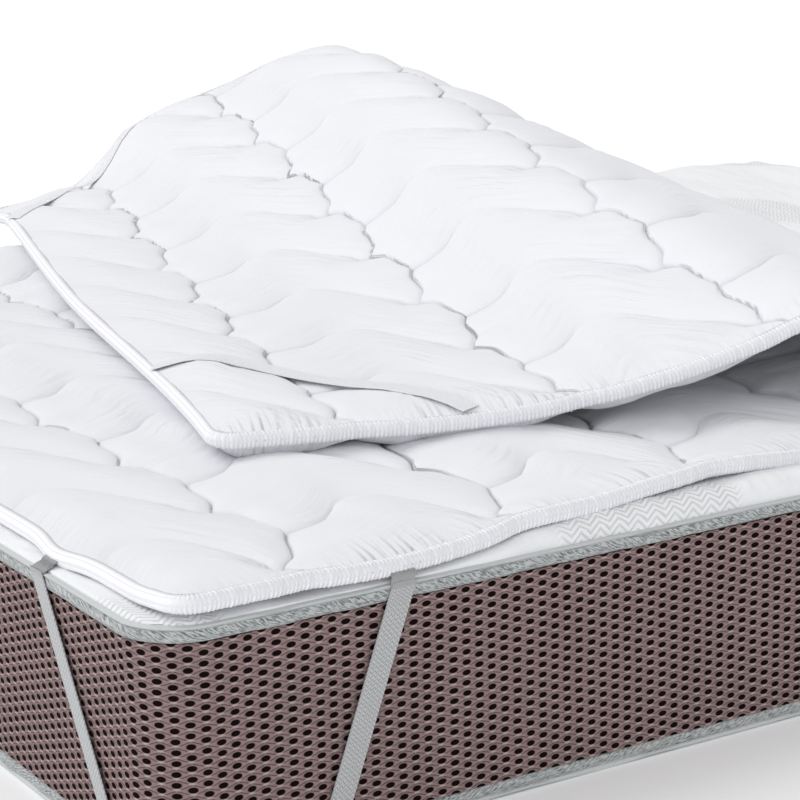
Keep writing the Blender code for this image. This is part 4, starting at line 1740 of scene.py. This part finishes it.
@dataclass
class HoldingStrap(Strap):
    """A strap from the pad's long rim, under the mattress corner, to the pad's end rim."""

    side: Side = Side.NEAR
    off_face: float = 0.004
    bend: float = 0.0065
    under: float = 0.0012
    search_from: float = 0.03
    rim_gap: float = 0.0003
    search_step: float = 0.001
    search_below: float = 0.0195
    edge_gap: float = 0.0005
    rim_route: Knots = ((-0.0030, 0.0045), (0.0030, 0.0015))
    edge_route: Knots = ((0.0034, 0.0002), (0.0040, -0.0040))
    wide_ledge: float = 0.008
    ledge_route: tuple[tuple[float, float, float], ...] = (
        (0.55, 0.0, 0.0046), (0.0, -0.002, 0.0034),
    )
    corner_slip: float = 0.004
    corner_steps: int = 6
    finer_steps: int = 3
    long_side: tuple[float, float] = (0.249, 0.168)
    end_side: tuple[float, float] = (0.2195, 0.0775)

    def build(self) -> bpy.types.Object:
        """Build the strap round its corner.

        Returns:
            The finished strap.
        """
        corner = Vector((-MATTRESS_LENGTH / 2, self.side.value * MATTRESS_WIDTH / 2, 0.0))
        along_x = Vector((1.0, 0.0, 0.0))
        along_y = Vector((0.0, -self.side.value, 0.0))
        first = self.down_side(corner, along_x, along_y, self.long_side)
        second = self.down_side(corner, along_y, along_x, self.end_side)
        under = []
        for step in range(1, self.corner_steps):
            share = step / self.corner_steps
            across = (along_x * (1.0 - share) + along_y * share).normalized()
            under.append((first[-1][0].lerp(second[-1][0], share), across,
                          Vector((0.0, 0.0, -1.0))))
        stations = first + under + second[::-1]
        return self.ribbon(self.finer(stations, self.finer_steps), "stretched", ["topper_quilted_pad"])

    def under_rim(self, top: Vector, along: Vector, outward: Vector) -> tuple[float, float]:
        """Find the pad's rim above the strap.

        Args:
            top: Where the strap starts, on the mattress's side at floor level.
            along: Direction along that side.
            outward: Direction out of the mattress.

        Returns:
            How far out the rim covers the whole strap, and the strap's height just below it.
        """
        out = self.search_from
        upright = Vector((0.0, 0.0, 1.0))
        hits: list[Optional[Vector]] = [None]
        while None in hits:
            out -= self.search_step
            start = top + outward * out + upright * (MATTRESS_HEIGHT - self.search_below)
            hits = [self.pad_tree.ray_cast(start + along * offset, upright)[0]
                    for offset in (-self.weave.width / 2, 0.0, self.weave.width / 2)]
        return out, min(hit.z for hit in hits) - self.rim_gap - self.thickness / 2

    def down_side(self, corner: Vector, along: Vector, inward: Vector,
                  ends: tuple[float, float]) -> list[Station]:
        """Stations of the strap down one side of the mattress.

        Args:
            corner: The mattress corner that the strap holds.
            along: Direction along that side, away from the corner.
            inward: Direction into the mattress.
            ends: Distance from the corner at the top and at the bottom.

        Returns:
            The stations, from under the rim to below the mattress's edge.
        """
        outward = -inward
        top, bottom = ends
        edge = MATTRESS_HEIGHT + self.edge_gap
        out, rim = self.under_rim(corner + along * top, along, outward)
        bend_centre = self.under + self.bend
        path = [(top, out + further, rim + higher) for further, higher in self.rim_route]
        if out < -self.wide_ledge:
            path += [(top, out * share + further, edge + higher)
                     for share, further, higher in self.ledge_route]
        path += [(top, further, edge + higher) for further, higher in self.edge_route]
        face_top = path[-1][2]
        for share in (0.25, 0.5, 0.75):
            path.append((top + (bottom - top) * share, self.off_face,
                         face_top * (1.0 - share) + bend_centre * share))
        for angle in (0.0, 30.0, 60.0, 90.0):
            turn = radians(angle)
            path.append((bottom - self.corner_slip * angle / 90.0,
                         self.off_face - self.bend * (1.0 - cos(turn)),
                         bend_centre - self.bend * sin(turn)))
        centres = []
        for place, way_out, height in path:
            centre = corner + along * place + outward * way_out
            centre.z = height
            centres.append(centre)
        handed = 1.0 if along.cross(Vector((0.0, 0.0, -1.0))).dot(outward) > 0.0 else -1.0
        stations = []
        for index, centre in enumerate(centres):
            travel = centres[min(index + 1, len(centres) - 1)] - centres[max(index - 1, 0)]
            travel = travel - along * travel.dot(along)
            stations.append((centre, along, along.cross(travel).normalized() * handed))
        return stations


@dataclass
class FlapStrap(Strap):
    """A strap that lies loose over the cells of the folded-back half."""

    sheet: Optional[FoldedSheet] = None
    route: Knots = ()
    step: float = 0.006
    smoothings: int = 48
    settlings: int = 300
    look_from: float = 0.07
    clearance: float = 0.0006
    sag: float = 0.00002

    def build(self) -> bpy.types.Object:
        """Lay the strap on the pad.

        Returns:
            The finished strap.
        """
        corners = [Vector((self.sheet.length - from_end, across)) for from_end, across in self.route]
        places = []
        for here, there in zip(corners, corners[1:]):
            count = max(round((there - here).length / self.step), 1)
            places += [here.lerp(there, k / count) for k in range(count)]
        places.append(corners[-1])
        for _ in range(self.smoothings):
            places[1:-1] = [(a + 2.0 * b + c) / 4.0
                            for a, b, c in zip(places, places[1:], places[2:])]
        flat = np.array([place[:] for place in places])
        points, alongs, sides, normals = self.sheet.place(flat[:, 0], flat[:, 1])
        frames = []
        needed = []
        for index in range(len(places)):
            travel = places[min(index + 1, len(places) - 1)] - places[max(index - 1, 0)]
            travel.normalize()
            point = Vector(points[index])
            up = -Vector(normals[index])
            across = (Vector(sides[index]) * travel.x - Vector(alongs[index]) * travel.y).normalized()
            tops = []
            for offset in (-0.5, -0.25, 0.0, 0.25, 0.5):
                above = point + across * self.weave.width * offset + up * self.look_from
                hit = self.pad_tree.ray_cast(above, -up)[0]
                if hit is not None:
                    tops.append((hit - point).dot(up))
            frames.append((point, across, up))
            needed.append(max(tops) + self.clearance + self.thickness / 2)
        heights = list(needed)
        for _ in range(self.settlings):
            for index in range(1, len(heights) - 1):
                level = 0.5 * (heights[index - 1] + heights[index + 1]) - self.sag
                heights[index] = max(needed[index], level)
        stations = [(point + up * height, across, up)
                    for (point, across, up), height in zip(frames, heights)]
        return self.ribbon(stations, "laid", ["topper_quilted_pad"])


# ---------------------------------------------------------------------------- mattress


@dataclass
class Mattress:
    """Border of spacer mesh, bound by two tapes, with ticking on top and below."""

    ticking: TickingShape
    mesh_finish: SpacerMesh = SpacerMesh()
    tape_finish: MelangeTape = MelangeTape()
    ticking_finish: Ticking = Ticking()
    tape_height: float = 0.0155
    tape_parts: float = 18.0
    tape_slack: float = 0.0004
    tape_map_width: float = 0.06
    tape_gap: float = 0.0003
    bead_above: float = 3.6
    bead_below: float = 6.6
    bead_blend: Run = (-0.0002, 0.0012)
    border_steps: int = 14
    around: int = 900
    wave: float = 0.0011
    waver_turns: tuple[int, int] = (25, 110)
    waver_waves: int = 8
    hollow: float = 0.0010
    ticking_faces: tuple[int, int] = (150, 120)
    ticking_inset: float = 0.003
    ticking_overlap: float = 0.001
    ticking_sharp: float = radians(60.0)
    edge_crowding: float = 1.7

    def outline(self, proud: float = 0.0) -> RoundedRectangle:
        """The mattress's outline, moved outwards by a distance."""
        return RoundedRectangle(MATTRESS_LENGTH + 2.0 * proud, MATTRESS_WIDTH + 2.0 * proud,
                                MATTRESS_CORNER + proud)

    def waver(self, distance: Array, seed: int) -> Array:
        """Gentle waviness along an edge, the same each time and closed round the mattress.

        Args:
            distance: Ways round the mattress.
            seed: Seed of the waves.

        Returns:
            The waviness, about -1 to 1.
        """
        chance = np.random.default_rng(seed)
        perimeter = self.outline().perimeter
        total = np.zeros_like(distance)
        for turns in chance.integers(*self.waver_turns, self.waver_waves):
            total += np.sin(distance * 2.0 * pi * turns / perimeter + chance.uniform(0.0, 2.0 * pi))
        return total / np.sqrt(self.waver_waves)

    def build_border(self) -> bpy.types.Object:
        """Build the border, a little hollowed between its tapes.

        Returns:
            The finished border.
        """
        outline = self.outline()
        ring = wrapped_grid(self.around, self.border_steps, "border")
        low = self.tape_height + self.tape_gap
        high = MATTRESS_HEIGHT - low

        def place(x: Array, y: Array) -> Array:
            """Place the vertices of the grid.

            Args:
                x: Shares of the way round.
                y: Shares of the way across the band.

            Returns:
                The places, one row each.
            """
            distance = x * outline.perimeter
            flat, out = outline.follow(distance)
            hollow = np.sin(pi * y) * (0.6 * self.hollow * self.waver(distance, 5) - self.hollow)
            flat = flat + out * hollow[:, None]
            return np.column_stack([flat, low + (high - low) * y])

        place_grid(ring, place)
        rims = [edge for edge in ring.edges if edge.is_boundary]
        bmesh.ops.holes_fill(ring, edges=rims, sides=0)
        face_outwards(ring)
        piece = add_piece("mattress_mesh_border", ring)
        piece.data.set_sharp_from_angle(angle=SHARP_ANGLE)
        scale_uv(piece.data, "border", outline.perimeter, high - low)
        piece.data.materials.append(self.mesh_finish.material())
        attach(piece, BODY)
        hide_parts("mattress_border")
        return piece

    def build_tape(self, name: str, node: str, low: float, seed: int) -> bpy.types.Object:
        """Build one binding tape, a rounded band with a bead along the edge away from the border.

        Args:
            name: The piece's name.
            node: The node that it stands for.
            low: Height of its lower edge.
            seed: Seed of its waviness.

        Returns:
            The finished tape.
        """
        outline = self.outline()
        above = low > MATTRESS_HEIGHT / 2
        wide = self.bead_above if above else self.bead_below
        full = self.tape_parts
        section = ((-0.0125, 0.0), (-0.0125, full), (-0.003, full), (0.0002, full - 0.06 * wide),
                   (0.0021, full - 0.27 * wide), (0.0027, full - 0.55 * wide),
                   (0.0021, full - 0.82 * wide), (0.0012, full - wide), (0.0016, full - 1.4 - wide),
                   (0.0021, 7.0), (0.0018, 3.5), (0.0008, 1.0), (-0.002, 0.0))
        steps = len(section)
        ring = wrapped_grid(self.around, steps, "tape")

        def place(x: Array, y: Array) -> Array:
            """Place the vertices of the grid.

            Args:
                x: Shares of the way round.
                y: Shares of the way across the band.

            Returns:
                The places, one row each.
            """
            distance = x * outline.perimeter
            corner = np.rint(y * steps).astype(int) % steps
            outs = np.array([point[0] for point in section])[corner]
            ups = np.array([point[1] for point in section])[corner] * self.tape_height / full
            ups = ups if above else self.tape_height - ups
            flat, out = outline.follow(distance)
            shown = outs > -0.01
            waver = self.waver(distance, seed) * self.wave * shown
            flat = flat + out * (outs + 0.5 * waver)[:, None]
            height = low + ups + np.where(outs > 0.0, waver, 0.0)
            highest = low + self.tape_height + self.tape_slack
            return np.column_stack([flat, np.clip(height, low, highest)])

        place_grid(ring, place)
        face_outwards(ring)
        piece = add_piece(name, ring)
        scale_uv(piece.data, "tape", outline.perimeter, self.tape_map_width)
        heights = vertex_places(piece.data)[:, 2] - low
        heights = heights if above else self.tape_height - heights
        seam = self.tape_height * (1.0 - wide / full)
        bead = ramp(heights - seam, self.bead_blend)
        add_values(piece.data, "bead", bead)
        piece.data.materials.append(self.tape_finish.material())
        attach(piece, BODY)
        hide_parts(node)
        return piece

    def build_ticking(self) -> bpy.types.Object:
        """Build the top panel, puffed up where nothing presses on it.

        Returns:
            The finished panel.
        """
        panel = bmesh.new()
        along, across = self.ticking_faces
        bmesh.ops.create_grid(panel, x_segments=along, y_segments=across, size=0.5)
        upper = thickened(panel)
        for vert in panel.verts:
            vert.co.z = 1.0 if vert in upper else 0.0
        face_outwards(panel)
        piece = add_piece("mattress_ticking", panel)
        places = vertex_places(piece.data)
        half = np.array((MATTRESS_LENGTH, MATTRESS_WIDTH)) / 2 - self.ticking_inset
        share = places[:, :2] * 2.0
        x, y = (np.sign(share) * (1.0 - (1.0 - np.abs(share)) ** self.edge_crowding) * half).T
        rounded, _ = rounded_corners(x, y, -half, half, MATTRESS_CORNER - self.ticking_inset)
        x, y = rounded.T
        top = self.ticking.height(x, y)
        low = MATTRESS_HEIGHT - self.tape_height
        height = np.where(places[:, 2] > 0.5, top, low + self.ticking_overlap)
        set_places(piece.data, np.column_stack([x, y, height]))
        piece.data.set_sharp_from_angle(angle=self.ticking_sharp)
        piece.data.materials.append(self.ticking_finish.material())
        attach(piece, BODY)
        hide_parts("mattress_top_panel")
        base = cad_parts["mattress_bottom_panel"]
        for slot in base.material_slots:
            slot.material = piece.data.materials[0]
        return piece


# ---------------------------------------------------------------------------- studio


@dataclass
class Studio:
    """Pale floor, white surroundings and soft lights."""

    floor_size: float = 60.0
    floor_finish: FloorFinish = FloorFinish()
    world_strength: float = 0.71
    sun_heading: tuple[float, float, float] = (0.60, -0.60, -0.74)
    sun_strength: float = 1.12
    sun_size: float = radians(44.0)
    fill_heading: tuple[float, float, float] = (0.60, 0.66, -0.45)
    fill_strength: float = 0.75
    fill_size: float = radians(60.0)
    light_distance: float = 3.0

    def build(self) -> None:
        """Add the floor, the surroundings, the soft sun from the left and the fill from the front."""
        source = bmesh.new()
        bmesh.ops.create_grid(source, x_segments=1, y_segments=1, size=self.floor_size / 2)
        floor = add_piece("studio_floor", source)
        floor.data.materials.append(self.floor_finish.material())
        world = bpy.data.worlds.new("studio")
        world.use_nodes = True
        background = world.node_tree.nodes["Background"]
        background.inputs["Color"].default_value = (1.0, 1.0, 1.0, 1.0)
        background.inputs["Strength"].default_value = self.world_strength
        bpy.context.scene.world = world
        self.light("soft_sun", self.sun_heading, self.sun_strength, self.sun_size)
        self.light("soft_fill", self.fill_heading, self.fill_strength, self.fill_size)

    def light(self, name: str, heading: tuple[float, float, float], strength: float,
              size: float) -> None:
        """Add one soft light that shines the same way everywhere.

        Args:
            name: The light's name.
            heading: Direction in which it shines.
            strength: Its strength.
            size: The angle that it seems to fill.
        """
        lamp = bpy.data.lights.new(name, "SUN")
        lamp.energy = strength
        lamp.angle = size
        holder = bpy.data.objects.new(name, lamp)
        holder.location = tuple(-self.light_distance * part for part in heading)
        holder.rotation_euler = Vector(heading).to_track_quat("-Z", "Y").to_euler()
        bpy.context.scene.collection.objects.link(holder)


@dataclass
class PhotoCamera:
    """Camera at the photograph's place, found from the mattress's edges."""

    place: tuple[float, float, float] = (-1.8906, -2.6413, 0.9485)
    focal_pixels: float = 2556.0
    picture: float = 800.0
    sensor: float = 36.0
    farthest: float = 200.0
    pitch: float = radians(14.2546)
    yaw: float = radians(31.825)
    roll: float = radians(-1.13)

    def build(self) -> None:
        """Add the camera and make it the scene's own."""
        camera = bpy.data.cameras.new("photo_camera")
        camera.sensor_width = self.sensor
        camera.lens = self.focal_pixels / self.picture * self.sensor
        camera.clip_end = self.farthest
        forward = Vector((sin(self.yaw) * cos(self.pitch), cos(self.yaw) * cos(self.pitch),
                          -sin(self.pitch)))
        level = Vector((cos(self.yaw), -sin(self.yaw), 0.0))
        upright = level.cross(forward)
        right = level * cos(self.roll) + upright * sin(self.roll)
        up = upright * cos(self.roll) - level * sin(self.roll)
        holder = bpy.data.objects.new("photo_camera", camera)
        turn = Matrix((right, up, -forward)).transposed().to_4x4()
        holder.matrix_world = Matrix.Translation(Vector(self.place)) @ turn
        bpy.context.scene.collection.objects.link(holder)
        bpy.context.scene.camera = holder


# Ways of the loose straps over the pad: distances from its folded end and from its near rim.
NEAR_ROUTE = ((0.004, 0.300), (0.045, 0.285), (0.090, 0.255), (0.130, 0.200), (0.170, 0.150),
              (0.215, 0.085), (0.245, 0.050), (0.272, 0.0085))
FAR_ROUTE = ((0.004, 1.300), (0.060, 1.355), (0.120, 1.440), (0.180, 1.510), (0.240, 1.586))
FLAP_WEAVE = ElasticWeave(colour=(0.775, 0.78, 0.81), light=(0.83, 0.835, 0.865))


def main() -> None:
    """Build every piece in order and report it."""
    logging.basicConfig(level=logging.INFO, format="%(name)s: %(message)s")
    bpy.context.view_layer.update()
    bpy.context.scene.view_settings.view_transform = "Standard"
    PhotoCamera().build()
    Studio().build()
    sheet = FoldedSheet()
    ticking = TickingShape()
    mattress = Mattress(ticking)
    pieces = [
        mattress.build_border(),
        mattress.build_tape("mattress_tape_above", "mattress_top_tape",
                            MATTRESS_HEIGHT - mattress.tape_height, 11),
        mattress.build_tape("mattress_tape_below", "mattress_bottom_tape", 0.0, 12),
        mattress.build_ticking(),
    ]
    pad = TopperPad(sheet, QuiltPattern(), ticking).build()
    pieces += [pad, Overlock(sheet, QuiltPattern()).build()]
    source = bmesh.new()
    source.from_mesh(pad.data)
    tree = BVHTree.FromBMesh(source)
    source.free()
    for side in Side:
        word = side.name.lower()
        pieces.append(HoldingStrap("holding_strap_" + word, "strap_holding_" + word, tree,
                                   side=side).build())
    for word, route in (("near", NEAR_ROUTE), ("far", FAR_ROUTE)):
        pieces.append(FlapStrap("flap_strap_" + word, "strap_flap_" + word, tree, FLAP_WEAVE,
                                sheet=sheet, route=route).build())
    for piece in pieces:
        log.info("%s: %d faces", piece.name, len(piece.data.polygons))


if __name__ == "__main__":
    main()
